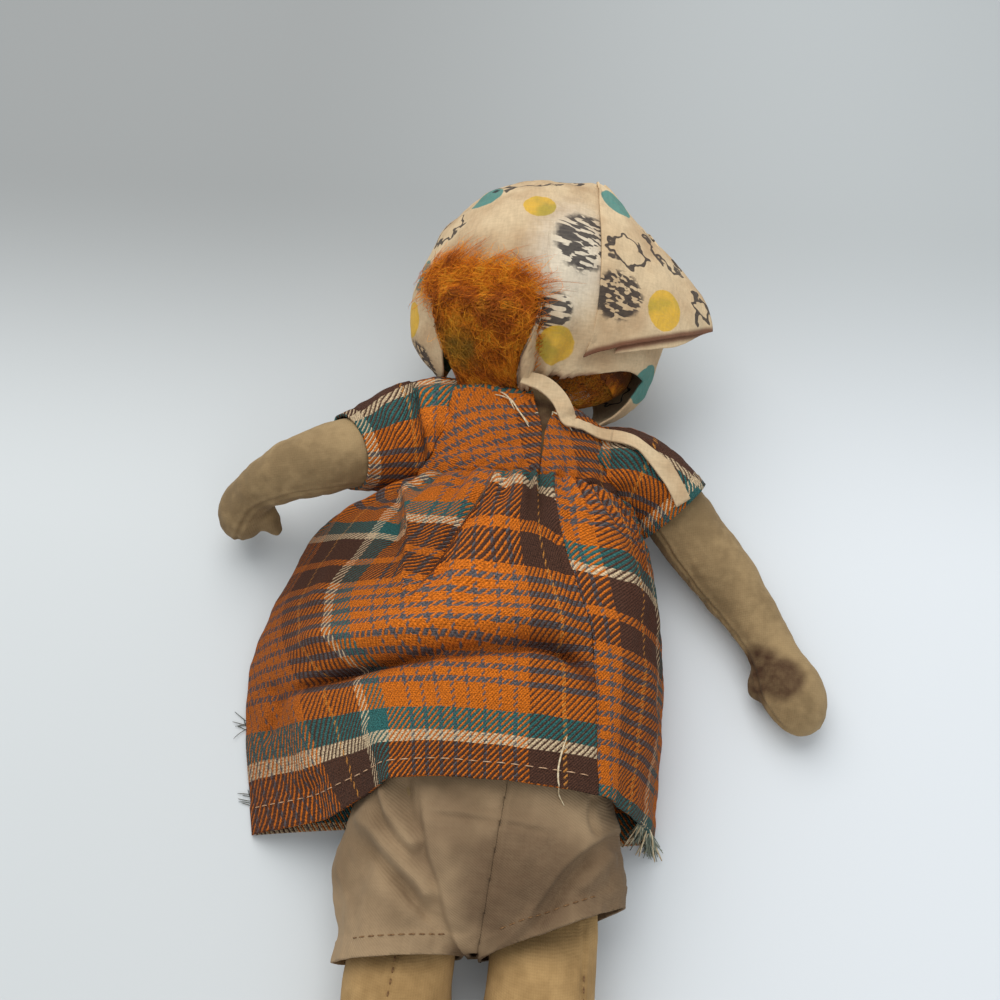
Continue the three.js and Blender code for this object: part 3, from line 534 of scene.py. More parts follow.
class Finish:
    """The nodes of a material or of the sky, with the shader they end in as its surface."""

    def __init__(self, owner):
        self.owner = bpy.data.materials.new(owner) if isinstance(owner, str) else owner
        self.owner.use_nodes = True
        self.tree = self.owner.node_tree
        self.surface = self.tree.nodes.get("Principled BSDF") or self.tree.nodes["Background"]

    def node(self, kind, settings=None, inputs=None, out=0):
        node = self.tree.nodes.new(kind)
        for key, value in (settings or {}).items():
            if key == "stops":
                ramp = node.color_ramp
                while len(ramp.elements) < len(value):
                    ramp.elements.new(1.0)
                for stop, (at, colour) in zip(ramp.elements, value):
                    stop.position, stop.color = at, colour
            elif key == "interpolation":
                node.color_ramp.interpolation = value
            else:
                setattr(node, key, value)
        for key, value in (inputs or {}).items():
            join(node.inputs[key], value)
        return Wire(node.outputs[out])

    def mix(self, first, second, share):
        return self.node("ShaderNodeMix", {"data_type": "RGBA"}, {0: share, 6: first, 7: second}, out=2)

    def shade(self, colour, value):
        """The colour times a number, made lighter or darker."""
        grey = self.node("ShaderNodeCombineColor", None, {0: value, 1: value, 2: value})
        kind = {"data_type": "RGBA", "blend_type": "MULTIPLY"}
        return self.node("ShaderNodeMix", kind, {0: 1.0, 6: colour, 7: grey}, out=2)

    def place(self):
        """Where the point is on the resting doll, in millimetres."""
        spot = self.node("ShaderNodeTexCoord", out=3)
        return self.node("ShaderNodeVectorMath", {"operation": "SCALE"}, {0: spot, 3: 1000.0})

    def pattern(self):
        return self.node("ShaderNodeUVMap", {"uv_map": "cloth"})

    def split(self, vector):
        node = self.tree.nodes.new("ShaderNodeSeparateXYZ")
        join(node.inputs[0], vector)
        return [Wire(out) for out in node.outputs]

    def joined(self, x, y, z=0.0):
        return self.node("ShaderNodeCombineXYZ", None, {0: x, 1: y, 2: z})

    def noise(self, vector, size, detail=2.0):
        """Cloudy unevenness with patches of about this size, from 0 to 1."""
        inputs = {"Vector": vector, "Scale": 1.0 / size, "Detail": detail}
        return self.node("ShaderNodeTexNoise", None, inputs)

    def step(self, value, low, high):
        """0 below low, 1 above high and smooth between."""
        kind = {"interpolation_type": "SMOOTHSTEP"}
        return self.node("ShaderNodeMapRange", kind, {0: value, 1: low, 2: high, 3: 0.0, 4: 1.0})

    def mark(self, name):
        """A number that was stored on the mesh, such as how soiled a place is."""
        return self.node("ShaderNodeAttribute", {"attribute_name": name}, out=2)

    def ramp(self, value, stops, kind="LINEAR"):
        return self.node("ShaderNodeValToRGB", {"stops": stops, "interpolation": kind}, {0: value})

    def feed(self, inputs):
        for name, value in inputs.items():
            join(self.surface.inputs[name], value)
        return self.owner

    def done(self, colour, roughness, height, depth, sheen=0.0, tint=(1, 1, 1, 1)):
        bump = self.node("ShaderNodeBump", None, {"Strength": 1.0, "Distance": depth * MM, "Height": height})
        gloss = {"Sheen Weight": sheen, "Sheen Tint": tint, "Specular IOR Level": 0.2}
        return self.feed({"Base Color": colour, "Roughness": roughness, "Normal": bump, **gloss})

# %% Numbers and places of a mesh
def store(piece, name, values):
    """Keeps one number for each point of a piece, for its finish to read."""
    layer = piece.data.attributes.new(name, "FLOAT", "POINT")
    layer.data.foreach_set("value", np.asarray(values, np.float32))


def read(piece, kind):
    """Three numbers for each point of a piece: its place in metres, or the way that it faces."""
    numbers = np.empty(len(piece.data.vertices) * 3)
    piece.data.vertices.foreach_get(kind, numbers)
    return numbers.reshape(-1, 3)


def places_of(piece):
    return read(piece, "co") / MM


# %% [markdown]
# Camera and light
#
# The doll was seen from above its feet, looking down steeply. A large soft lamp overhead and a pale sky
# give a plain, even light; the sky that the camera sees is a little paler than the one that lights the
# doll. The table is painted darker from near to far and from right to left: this is painted shade, put
# in the table's colour because more lamps would also change the doll.

# %% Camera and lamps
LOOK_AT = np.array([-7.75, 99.7, 0.0])
STAND_OFF, LOOK_DOWN, LOOK_ASIDE = 413.4, math.radians(60), math.radians(5.3)
FOCAL_LENGTH, FILM, NEAREST = 34.2, 36.0, 0.01
LAMPS = [("overhead", (-0.22, 0.5, 0.9), 1.0, 8.0), ("feet_side", (0.35, -0.75, 0.75), 0.6, 1.4)]
LAMPS_AIM = Vector((0, 0.05, 0))


def set_the_camera():
    scene = bpy.context.scene
    scene.view_settings.view_transform = "Standard"
    level = math.cos(LOOK_DOWN)
    way = Vector((-level * math.sin(LOOK_ASIDE), level * math.cos(LOOK_ASIDE), -math.sin(LOOK_DOWN)))
    camera = bpy.data.objects.new("camera", bpy.data.cameras.new("camera"))
    camera.data.lens, camera.data.sensor_width = FOCAL_LENGTH, FILM
    camera.location = Vector(LOOK_AT * MM) - way * (STAND_OFF * MM)
    camera.rotation_euler = way.to_track_quat("-Z", "Y").to_euler()
    camera.data.clip_start = NEAREST
    scene.collection.objects.link(camera)
    scene.camera = camera
    for name, place, size, power in LAMPS:
        lamp = bpy.data.objects.new(name, bpy.data.lights.new(name, "AREA"))
        lamp.data.size, lamp.data.energy = size, power
        lamp.location = place
        lamp.rotation_euler = (LAMPS_AIM - lamp.location).to_track_quat("-Z", "Y").to_euler()
        scene.collection.objects.link(lamp)
    print("camera at", [round(x, 3) for x in camera.location])


set_the_camera()

# %% Sky and table
SKY_LIT, SKY_SEEN = (0.62, 0.66, 0.70, 1), (0.66, 0.69, 0.72, 1)
TABLE_NEAR_SHADING = (0.585, 0.60, 0.592, 1), (0.70, 0.72, 0.73, 1)
TABLE_FAR_SHADING = (0.27, 0.274, 0.266, 1), (0.42, 0.435, 0.43, 1)
TABLE_REACH, TABLE_DROP = 1500, 0.0003


def set_the_table():
    bpy.context.scene.world = bpy.data.worlds.new("sky")
    sky = Finish(bpy.context.scene.world)
    sky.feed({"Color": sky.mix(SKY_LIT, SKY_SEEN, sky.node("ShaderNodeLightPath"))})
    paper = Finish("table_paper")
    x, y, _ = paper.split(paper.place())
    aside, away = paper.step(x, -170, 200), paper.step(y, 70, 290)
    # Painted shade: the table grows darker away from the camera and towards the left.
    colour = paper.mix(paper.mix(*TABLE_NEAR_SHADING, aside), paper.mix(*TABLE_FAR_SHADING, aside), away)
    corners = TABLE_REACH * np.array([(-1, -1, 0), (1, -1, 0), (1, 1, 0), (-1, 1, 0)])
    material = paper.feed({"Base Color": colour, "Roughness": 0.75})
    table = new_mesh("table_top", corners, [(0, 1, 2, 3)], material=material)
    table.location.z = -TABLE_DROP
    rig.stage(table)
    print("the table reaches", TABLE_REACH, "mm each way")


set_the_table()

# %% [markdown]
# The plaid
#
# The dress is a 2/2 twill: threads across and along pass over two and under two, one step aside in each
# row, so the cloth shows slanting ribs. Where a brown stripe crosses an orange one, ribs of both colours
# alternate. So the finish works out one stripe colour across and one along, from the same list of
# stripes, and lets the slanting ribs choose between them.

# %% Plaid twill
RIB = 2.3
RIB_STEEP = 1.15
THREAD = 0.65
EDGE = [("teal", 8), ("cream", 4)]
LINED_DOWN = [("orange", 3.0), ("slate", 2.0)] * 8
LINED_ACROSS = [("orange", 3.8), ("slate", 1.2)] * 8
BANDS = {
    "down": [*EDGE, ("brown", 12.5), ("orange", 3.2), ("brown", 9.3), *LINED_DOWN, ("orange", 9)],
    "across": [*EDGE, ("brown", 13), ("amber", 1.3), ("brown", 10.7), *LINED_ACROSS, ("orange", 9)],
}
REPEAT = sum(width for _, width in BANDS["down"])
DYES = {
    "teal": rgb(50, 110, 106), "cream": rgb(228, 200, 160), "brown": rgb(85, 54, 40),
    "amber": rgb(206, 136, 60), "orange": rgb(221, 116, 24), "slate": rgb(100, 94, 94),
}


def plaid_twill():
    f = Finish("plaid_twill")
    u, v, _ = f.split(f.pattern())
    spot = f.joined(u, v)
    wander = (f.noise(spot, 14.0) - 0.5) * 1.6
    stripes = {}
    for way, bands in BANDS.items():
        starts = [sum(width for _, width in bands[:i]) for i in range(len(bands))]
        stops = [(start / REPEAT, DYES[dye]) for start, (dye, _) in zip(starts, bands)]
        place = (wander - u) if way == "across" else (v + wander * 0.6)
        stripes[way] = f.ramp((place / REPEAT).fract(), stops, "CONSTANT")
    rib = ((u * RIB_STEEP + v) / RIB + (f.noise(spot, 6.0) - 0.5) * 0.1).fract()
    peak = (rib - 0.5).size() * 2.0
    ragged = (f.noise(spot, 0.8) - 0.5) * 0.7
    over = f.step(peak + ragged, 0.39, 0.85)
    colour = f.mix(stripes["down"], stripes["across"], over)
    warp, weft = u.ribs(THREAD), v.ribs(THREAD)
    floats = weft + (warp - weft) * over
    groove = (peak - 0.5).size() * 2.0
    speckle = f.step(f.noise(spot, 0.62), 0.32, 0.68)
    patch = f.noise(f.place(), 18.0, 3.0)
    light = 0.14 + speckle * 0.62 + groove.math("MINIMUM", 0.6) * 0.5 + floats * 0.2 + patch * 0.2
    colour = f.shade(colour, light)
    # Stored soil darkens the plaid; on the skirt it also holds painted shade in the groove and at the sides.
    colour = f.mix(colour, rgb(72, 30, 14), f.mark("soil") * 0.7)
    fuzz = f.noise(f.place(), 0.9, 3.0)
    height = groove * 0.9 + floats * 0.35 + fuzz * 0.45
    return f.done(colour, 0.92, height, 0.55, 0.03, rgb(240, 190, 140))


# %% [markdown]
# Plain cottons
#
# The skin of the doll, the bloomers and the kerchief are thin cottons that have yellowed. What makes
# them look like cloth is small: a fine weave, slubs that run with the threads, cloudy soil, and darker
# patches where hands and floors have rubbed. Each finish gets these from the same few lines.

# %% Skin cotton
FINE_WEAVE = 0.75


def cotton(name, pale, dark, stain, marks=()):
    """marks are painted on: a dye, a middle, half its size each way, its turn and how soft its edge is."""
    f = Finish(name)
    place = f.place()
    cloudy = f.noise(place, 22.0, 4.0)
    mottled = f.noise(place, 4.0, 3.0)
    fibres = f.noise(place, 0.8)
    colour = f.mix(pale, dark, f.step(cloudy * 0.7 + mottled * 0.3, 0.36, 0.66))
    colour = f.mix(colour, stain, (f.mark("soil") * (0.55 + mottled * 0.9)).clamp())
    for dye, centre, size, turn, soft in marks:
        edge = motif(f, place, centre, size, turn) + (fibres - 0.5) * 0.15
        colour = f.mix(colour, dye, (1.0 - f.step(edge, 1.0 - soft, 1.0 + soft)) * 0.92)
    x, y, z = f.split(place)
    fine = (x.ribs(FINE_WEAVE) + (y + z * 0.6).ribs(FINE_WEAVE)) * 0.5
    colour = f.shade(colour, 0.86 + fibres * 0.16 + fine * 0.1)
    return f.done(colour, 0.88, fine * 0.3 + fibres * 0.5, 0.22, 0.08, rgb(230, 205, 170))

# %% Bloomers twill
def ribbed_cotton():
    f = Finish("beige_twill")
    place = f.place()
    x, y, z = f.split(place)
    ribs = (x * 0.6 + y * 0.8 + z * 0.5).ribs(FINE_WEAVE)
    along, across = f.joined(x * 0.12, y, z), f.joined(x, y * 0.12, z)
    slub = f.noise(along, 0.9, 2.0) * 0.6 + f.noise(across, 0.9) * 0.4
    cloudy = f.noise(place, 26.0, 4.0)
    colour = f.mix(rgb(160, 134, 102), rgb(128, 105, 78), f.step(cloudy, 0.35, 0.68))
    colour = f.mix(colour, rgb(84, 62, 44), (f.mark("soil") * (0.5 + slub)).clamp())
    colour = f.shade(colour, 0.82 + slub * 0.3 + ribs * 0.04)
    return f.done(colour, 0.9, ribs * 0.35 + slub * 0.4, 0.22, 0.06, rgb(235, 220, 195))

# %% Stuffing, elastic and threads
def wadding():
    f = Finish("stuffing")
    place = f.place()
    tuft = f.noise(place, 3.0, 5.0)
    colour = f.mix(rgb(236, 230, 214), rgb(205, 192, 168), f.step(tuft, 0.35, 0.7))
    return f.done(colour, 0.95, tuft, 1.2, 0.15)


def webbing():
    f = Finish("elastic")
    u, v, _ = f.split(f.pattern())
    ribs, rows = u.ribs(1.0), v.ribs(1.2)
    colour = f.mix(rgb(240, 234, 220), rgb(206, 194, 170), ribs * 0.5 + rows * 0.2)
    return f.done(colour, 0.7, ribs * 0.6 + rows * 0.4, 0.3)


def thread(name, pale, dark):
    f = Finish(name)
    u, v, _ = f.split(f.pattern())
    twist = (v * 9.0 + u).ribs(1.0)
    colour = f.mix(pale, dark, twist * 0.6 + u * 0.3)
    return f.done(colour, 0.8, twist, 0.08)


# %% [markdown]
# The printed kerchief and the mohair
#
# The kerchief is a slubby cream cotton with a bold print of spots, leaf outlines and brushed patches. Each
# motif is a place on the resting doll and a size, so a spot stays round wherever the cloth curves, and
# its edge stays sharp from near by, which a painted picture would not. The mohair is dyed ginger, with
# darker and greener locks. At the nape the hair is painted much darker, as painted shade under the
# kerchief, and the fuzz over the kerchief's edge takes a lighter copy of the mohair as painted light.

# %% Printed cotton
TEAL, MUSTARD, GREEN, INK = rgb(46, 122, 116), rgb(208, 162, 44), rgb(132, 132, 44), rgb(26, 26, 34)


def motif(f, place, centre, size, turn=(0, 0, 0)):
    """How far a point is from a motif's middle, where 1 is its edge."""
    inputs = {"Vector": place, "Location": centre, "Rotation": turn, "Scale": size}
    inside = f.node("ShaderNodeMapping", {"vector_type": "TEXTURE"}, inputs)
    return f.node("ShaderNodeVectorMath", {"operation": "LENGTH"}, {0: inside}, out=1)


# The last argument sets how light the cloth is; the wing's lighter copy of the print is painted light.
def printed_cotton(name, motifs, bright=0.68):
    f = Finish(name)
    place = f.place()
    x, y, z = f.split(place)
    along = f.noise(f.joined(x * 0.16, y, z), 0.8)
    across = f.noise(f.joined(x, y * 0.16, z * 0.4), 0.8)
    cloudy = f.noise(place, 20.0, 3.0)
    colour = f.mix(rgb(204, 179, 142), rgb(178, 148, 112), f.step(cloudy, 0.35, 0.7))
    rough = (f.noise(place, 2.2) - 0.5) * 0.22
    jag = (f.noise(place, 5.0, 1.0) - 0.5) * 1.3
    for kind, dye, centre, size, turn in motifs:
        uneven = jag if kind == "leaf" else rough * (0.4 if kind == "spot" else 1.2)
        edge = motif(f, place, centre, size, turn) + uneven
        if kind == "spot":
            mask = 1.0 - f.step(edge, 0.97, 1.03)
        # A pale patch softly lightens a large area of the cloth.
        elif kind == "bleached":
            mask = (1.0 - f.step(edge, 0.3, 1.2)) * 0.7
        elif kind == "leaf":
            line = (edge - 0.9).size()
            mask = 1.0 - f.step(line, 0.075, 0.12)
        else:
            strokes = f.noise(f.joined(x * 0.1, y + x * 0.15, z), 1.7, 1.0)
            mask = (1.0 - f.step(edge, 0.8, 1.05)) * f.step(strokes, 0.44, 0.49)
        dye = f.mix(dye, GREEN, f.step(cloudy, 0.45, 0.6) * 0.6) if dye == MUSTARD else dye
        colour = f.mix(colour, dye, mask * (0.78 + along * 0.2))
    colour = f.mix(colour, rgb(92, 44, 28), f.mark("soil") * 0.85)
    colour = f.shade(colour, bright + along * 0.3 + across * 0.3)
    return f.done(colour, 0.9, along * 0.5 + across * 0.5, 0.25, 0.06, rgb(245, 230, 205))

# %% Mohair
LOCKS = [
    (0.26, rgb(128, 56, 8)), (0.40, rgb(184, 88, 8)), (0.54, rgb(224, 126, 14)),
    (0.68, rgb(236, 156, 34)), (0.82, rgb(204, 150, 44)),
]


# The number after the name sets how light the hair is: its darker and lighter copies are painted shade and painted
# light.
def mohair(name, bright, tints=()):
    """tints are other colours on the head, and the darkest are painted shade: a dye, a middle and a reach."""
    f = Finish(name)
    place = f.place()
    lock = f.noise(place, 8.0, 3.0)
    u, v, _ = f.split(f.pattern())
    colour = f.ramp((lock * 0.85 + u * 0.3 - 0.08).clamp(), LOCKS)
    for dye, centre, size in tints:
        edge = motif(f, place, centre, size) + (lock - 0.5) * 1.2
        colour = f.mix(colour, dye, (1.0 - f.step(edge, 0.3, 1.25)) * 0.75)
    colour = f.shade(colour, bright + v * 0.25)
    fine = f.noise(place, 0.6)
    return f.done(colour, 0.75, fine, 0.5, 0.25, rgb(250, 190, 110))


# %% [markdown]
# The stuffed body
#
# Head, body and limbs are cotton bags packed with fibre. Each swells in the middle and is drawn flat at
# its seam, where nothing but doubled cloth is left to bend. A limb is an oval section swept along a
# smooth path, so its seams can be drawn along its length.

# %% Sizes of the body, in millimetres
SIDES = {"left": -1, "right": 1}
SHOULDERS = {side: hinge[f"shoulder_{side}_swing"] for side in SIDES}
HEAD = np.array([2.0, 179.0, 42.5])
HEAD_WIDTH, HEAD_LENGTH, HEAD_DEPTH = 92, 94, 86
NECK = hinge["neck_nod"]
NECK_RADIUS = 15
HIP_Y, HIP_Z = hinge["hip_left_swing"][1:]
LEG_X = hinge["hip_right_swing"][0]
HIP_WIDTH, HIP_DEPTH = 80, 46
CHEST_WIDTH, CHEST_DEPTH = 79, 48
SHOULDER_Y, SHRUG, BODY_LIFT = 116, 5, 3.8
SEAM = 3.4
COTTON, PLAID, LINEN = 0.8, 1.1, 0.9
AIR, EASE, FLAT = 0.4, 1.6, 0.5
YOKE_Y, COLLAR_Y = 82, 121
CHEST_Y, SEAT_Y = YOKE_Y - 7, HIP_Y + 34
ARM_THICK, WRIST, HAND_WIDE, HAND_THICK, THUMB = 27, 19, 25, 21, 5.2
LEG_LENGTH, LEG_THICK, ANKLE, FOOT = 168.5, 34.5, 23, 46

# %% The torso: how wide, deep and high it is at each place up the body
torso_wide = profile(
    [HIP_Y, HIP_WIDTH / 2 - 1], [HIP_Y + 16, HIP_WIDTH / 2], [SEAT_Y, HIP_WIDTH / 2], [20, HIP_WIDTH / 2 - 2],
    [CHEST_Y, CHEST_WIDTH / 2], [SHOULDER_Y - 8, CHEST_WIDTH / 2 - 0.5], [SHOULDER_Y, CHEST_WIDTH / 2 - 6],
    [SHOULDER_Y + 6, NECK_RADIUS + 7], [NECK[1], NECK_RADIUS],
)
torso_deep = profile(
    [HIP_Y, SEAM / 2], [HIP_Y + 16, HIP_DEPTH / 2 - 4], [SEAT_Y, HIP_DEPTH / 2], [20, HIP_DEPTH / 2],
    [CHEST_Y, CHEST_DEPTH / 2], [SHOULDER_Y - 10, CHEST_DEPTH / 2 - 1], [SHOULDER_Y, CHEST_DEPTH / 2 - 4.5],
    [SHOULDER_Y + 6, NECK_RADIUS + 1.5], [NECK[1], NECK_RADIUS],
)
torso_middle = profile(
    [HIP_Y, HIP_Z], [HIP_Y + 18, BODY_LIFT + HIP_DEPTH / 2 - 2], [SEAT_Y, BODY_LIFT + HIP_DEPTH / 2],
    [CHEST_Y, BODY_LIFT + CHEST_DEPTH / 2], [SHOULDER_Y - 10, BODY_LIFT + CHEST_DEPTH / 2 + 0.5],
    [SHOULDER_Y + 6, NECK[2] - 2], [NECK[1], NECK[2]],
)


def lean(y):
    return NECK[0] * smooth(y, 0, NECK[1])


def shrug(y, side):
    """How far the shoulders slope down; side goes from -1 at the left edge to 1 at the right."""
    return SHRUG * side * smooth(y, YOKE_Y, SHOULDER_Y) * torso_wide(y) / torso_wide(YOKE_Y)


def torso_at(y, angle, grow):
    side, up = np.cos(np.radians(angle)), np.sin(np.radians(angle))
    return stack(
        lean(y) + (torso_wide(y) + grow) * side,
        y - shrug(y, side),
        torso_middle(y) + (torso_deep(y) + grow) * up,
    )

# %% Points on the head
def head_at(turn, fall, grow):
    """A point of the head. Turn goes from the doll's right over the back; fall from crown to neck."""
    t, f = np.radians(turn), np.radians(fall)
    round_it = np.sin(f) * (1 - 0.07 * smooth(fall, 100, 170))
    return stack(
        HEAD[0] + (HEAD_WIDTH / 2 + grow) * round_it * np.cos(t),
        HEAD[1] + (HEAD_LENGTH / 2 + grow) * np.cos(f),
        HEAD[2] + (HEAD_DEPTH / 2 + grow) * round_it * np.sin(t),
    )


# %% A limb: an oval section swept along a path
class Limb:
    def __init__(self, path, axis, wide, thick, tip=2.0):
        self.path, self.axis = Path(path), np.array(axis, float)
        self.wide, self.thick, self.tip = wide, thick, tip
        self.length = self.path.length

    def frame(self, share):
        ahead = self.path.ahead(share)
        across = unit(self.axis - (ahead @ self.axis)[..., None] * ahead)
        return self.path.at(share), across, np.cross(ahead, across)

    def at(self, turn, share, grow=0.0):
        middle, across, up = self.frame(share)
        past = np.clip((share - self.tip) / max(1 - self.tip, 1e-6), 0, 1) if self.tip < 1 else 0 * share
        round_it = np.sqrt(np.maximum(1 - past**2, 0.0))
        wide = self.wide(share) / 2 * round_it + grow * round_it**0.3
        thick = self.thick(share) / 2 * round_it + grow * round_it**0.3
        a = np.radians(turn)
        return middle + across * (wide * np.cos(a))[..., None] + up * (thick * np.sin(a))[..., None]


def along_limb(count, tip):
    """Places along a limb, packed closer round its end."""
    body = np.linspace(0, tip, count)
    end = tip + (1 - tip) * np.sin(np.linspace(0, math.pi / 2, count // 4))[1:]
    return np.concatenate([body, end])

# %% The arms and the legs as limbs
arm_wide = profile(
    [0, ARM_THICK - 2], [0.13, ARM_THICK], [0.42, ARM_THICK], [0.62, WRIST + 2.5], [0.73, WRIST],
    [0.87, HAND_WIDE], [1, HAND_WIDE],
)
arm_thick = profile(
    [0, SEAM], [0.13, ARM_THICK - 4], [0.25, ARM_THICK], [0.5, ARM_THICK - 2], [0.73, WRIST - 1],
    [0.87, HAND_THICK], [1, HAND_THICK],
)
REACH = {
    "left": [
        (0, 0, 0), (-5, 0, 0.2), (-14, -6, 6), (-27, -15, 12.5), (-40, -21, 12.5),
        (-53, -25, 8), (-63, -28, 0), (-69, -30, -11), (-72, -33, -24),
    ],
    "right": [
        (0, 0, 0), (5, 0, 0), (16, -6, -4), (30, -19, -11), (44, -36, -15),
        (56, -53, -17), (64, -68, -18), (70, -82, -19), (73, -95, -19.5),
    ],
}
THUMBS = {"left": [(-62, -31, -6), (-55, -36, -21)], "right": [(60, -70, -20), (55, -82, -23.5)]}
arms = {
    side: Limb(SHOULDERS[side] + np.array(way, float), (0, 1, 0), arm_wide, arm_thick, 0.86)
    for side, way in REACH.items()
}
leg_wide = profile(
    [0, LEG_THICK], [0.2, LEG_THICK], [0.45, LEG_THICK - 4],
    [0.68, ANKLE + 1], [0.8, ANKLE + 1], [1, ANKLE - 2],
)
leg_thick = profile(
    [0, SEAM], [0.1, LEG_THICK - 7], [0.19, LEG_THICK - 1],
    [0.45, LEG_THICK - 4], [0.68, ANKLE], [1, ANKLE - 3],
)


def leg(side):
    start, sole = HIP_Y - 2, HIP_Y - LEG_LENGTH
    thigh, heel = LEG_THICK / 2, ANKLE / 2
    path = [
        (LEG_X, start, HIP_Z), (LEG_X, start - 3, HIP_Z), (LEG_X, start - 15, thigh + LINEN + AIR + 1.5),
        (LEG_X, start - 31, thigh + LINEN + AIR + 0.5), (LEG_X + 0.5, start - 58, thigh - 1 - FLAT),
        (LEG_X + 1, start - 100, heel + 1.5 - FLAT), (LEG_X + 1.5, sole + heel + 16, heel - FLAT),
        (LEG_X + 5, sole + heel + 3, heel - FLAT), (LEG_X + 16, sole + heel - 1, heel - FLAT),
        (LEG_X + FOOT - heel, sole + heel, heel - 1 - FLAT),
    ]
    return Limb([(side * x, y, z) for x, y, z in path], (side * 0.75, 0.66, 0), leg_wide, leg_thick, 0.9)


legs = {side: leg(sign) for side, sign in SIDES.items()}
print("arms and legs are", [round(limb.length) for limb in (*arms.values(), *legs.values())], "mm long")

# %% [markdown]
# Sewing the bags shut
#
# A stuffed bag starts as a tube of rings, so each open end is gathered to one point. Cloth that lies on
# the floor is pressed flat against it. Where two stuffed shapes are sewn into one, such as a thumb on a
# hand, both are melted together by a voxel remesh and the join is smoothed, and the small creases are
# pressed in afterwards because the remesh would lose them.

# %% Closing, remeshing and pressing
def closed(grid):
    """Gathers both open ends of a tube of rings to one point each."""
    ends = [np.repeat(ring.mean(axis=0, keepdims=True), len(grid), 0) for ring in (grid[:, :1], grid[:, -1:])]
    return np.concatenate([ends[0], grid, ends[1]], axis=1)


def swelled(grid, change):
    """Moves each point of a ringed shape outwards by its own amount."""
    return grid + facing(grid, True) * change[..., None]


def lumpy(grid, size, seed, height, drawn_in=0.0):
    return swelled(grid, ripples(grid, size, seed) * height - drawn_in)


def on_floor(points, level=0.0):
    """Pressed flat on the floor, with a small rounding where it lifts off."""
    x, y, z = parts(points)
    height = z - level
    lifted = 0.5 * (height + np.sqrt(height**2 + 0.3)) - 0.02
    return stack(x, y, level + np.maximum(lifted, 0))

# %% Running modifiers, and moving points
def applied(piece, *modifiers):
    """Runs modifiers, given as a type and its settings, and keeps the result as the piece's own mesh."""
    for kind, settings in modifiers:
        modifier = piece.modifiers.new(kind.lower(), kind)
        for key, value in settings.items():
            setattr(modifier, key, value)
    graph = bpy.context.evaluated_depsgraph_get()
    mesh = bpy.data.meshes.new_from_object(piece.evaluated_get(graph))
    material = piece.data.materials[0] if piece.data.materials else None
    piece.modifiers.clear()
    piece.data = mesh
    mesh.materials.clear()
    if material is not None:
        mesh.materials.append(material)
    mesh.polygons.foreach_set("use_smooth", [True] * len(mesh.polygons))
    return piece


def melted(piece, voxel, smoothing):
    return applied(
        piece,
        ("REMESH", {"mode": "VOXEL", "voxel_size": voxel * MM}),
        ("SMOOTH", {"factor": 0.5, "iterations": smoothing}),
        ("SUBSURF", {"levels": 1, "render_levels": 1}),
    )


def moved(piece, places):
    piece.data.vertices.foreach_set("co", (places * MM).ravel())
    piece.data.update()

# %% Joining meshes, and soil
def together(name, *pieces):
    """One object that holds the meshes of several."""
    work = bmesh.new()
    for piece in pieces:
        work.from_mesh(piece.data)
    mesh = bpy.data.meshes.new(name)
    work.to_mesh(mesh)
    work.free()
    for material in pieces[0].data.materials:
        mesh.materials.append(material)
    for piece in pieces:
        removed(piece)
    return placed(name, mesh)


def soiled(piece, *spots, base=0.0):
    """Stores how soiled each point is; a spot is a middle, a reach in millimetres and a strength."""
    places = places_of(piece)
    dirt = np.full(len(places), float(base))
    for centre, reach, strength in spots:
        away = np.linalg.norm(places - np.array(centre, float), axis=1)
        dirt = np.maximum(dirt, strength * (1 - smooth(away, reach * 0.55, reach)))
    store(piece, "soil", dirt)


# %% [markdown]
# Torso and head
#
# The torso ends above in a stuffed ball that the head turns on, and the head has a dent that fits the
# ball. Both are rings of points round a middle line, because the clothes are made from their sizes at
# each height. The face lies on the table, so it gets plain painted features of the common kind: round
# eyes, a dot of a nose, a small mouth and pink cheeks.

# %% Torso skin and stuffing
turns = np.arange(0, 360, 3.75)


def torso_bag(grow, low=0.0, high=None, steps=100):
    """The bag of the torso; where high is left out, it ends in the ball of the neck."""
    top = NECK[1] if high is None else high
    turn, up = grid_of(turns, np.linspace(HIP_Y + 2 + low, top, steps))
    body = torso_at(up, turn, grow)
    if high is None:
        round_turn, rise = grid_of(turns, np.linspace(0, 86, 14)[1:])
        a, b = np.radians(round_turn), np.radians(rise)
        radius = NECK_RADIUS + grow
        drop = SHRUG * np.cos(a) * np.cos(b) * NECK_RADIUS / torso_wide(YOKE_Y)
        ball = stack(
            NECK[0] + radius * np.cos(b) * np.cos(a),
            NECK[1] + radius * np.sin(b) - drop,
            NECK[2] + radius * np.cos(b) * np.sin(a),
        )
        body = np.concatenate([body, ball], axis=1)
    return body


skin_cotton = cotton("skin_cotton", rgb(160, 134, 95), rgb(130, 107, 74), rgb(66, 42, 27))
stuffing_finish = wadding()
torso = torso_bag(0.0)
torso = lumpy(torso, 26, 3, 0.35)
piece = skin("torso_skin", closed(torso), skin_cotton)
soiled(piece, ((0, 124, 46), 16, 0.25), ((8, 112, 50), 14, 0.75))
fill = torso_bag(-COTTON - AIR - 0.6, low=6, high=112, steps=60)
soiled(skin("torso_stuffing", closed(lumpy(fill, 9, 4, 0.35, 0.35)), stuffing_finish))
print("torso", [round(x) for x in np.ptp(torso.reshape(-1, 3), axis=0)])

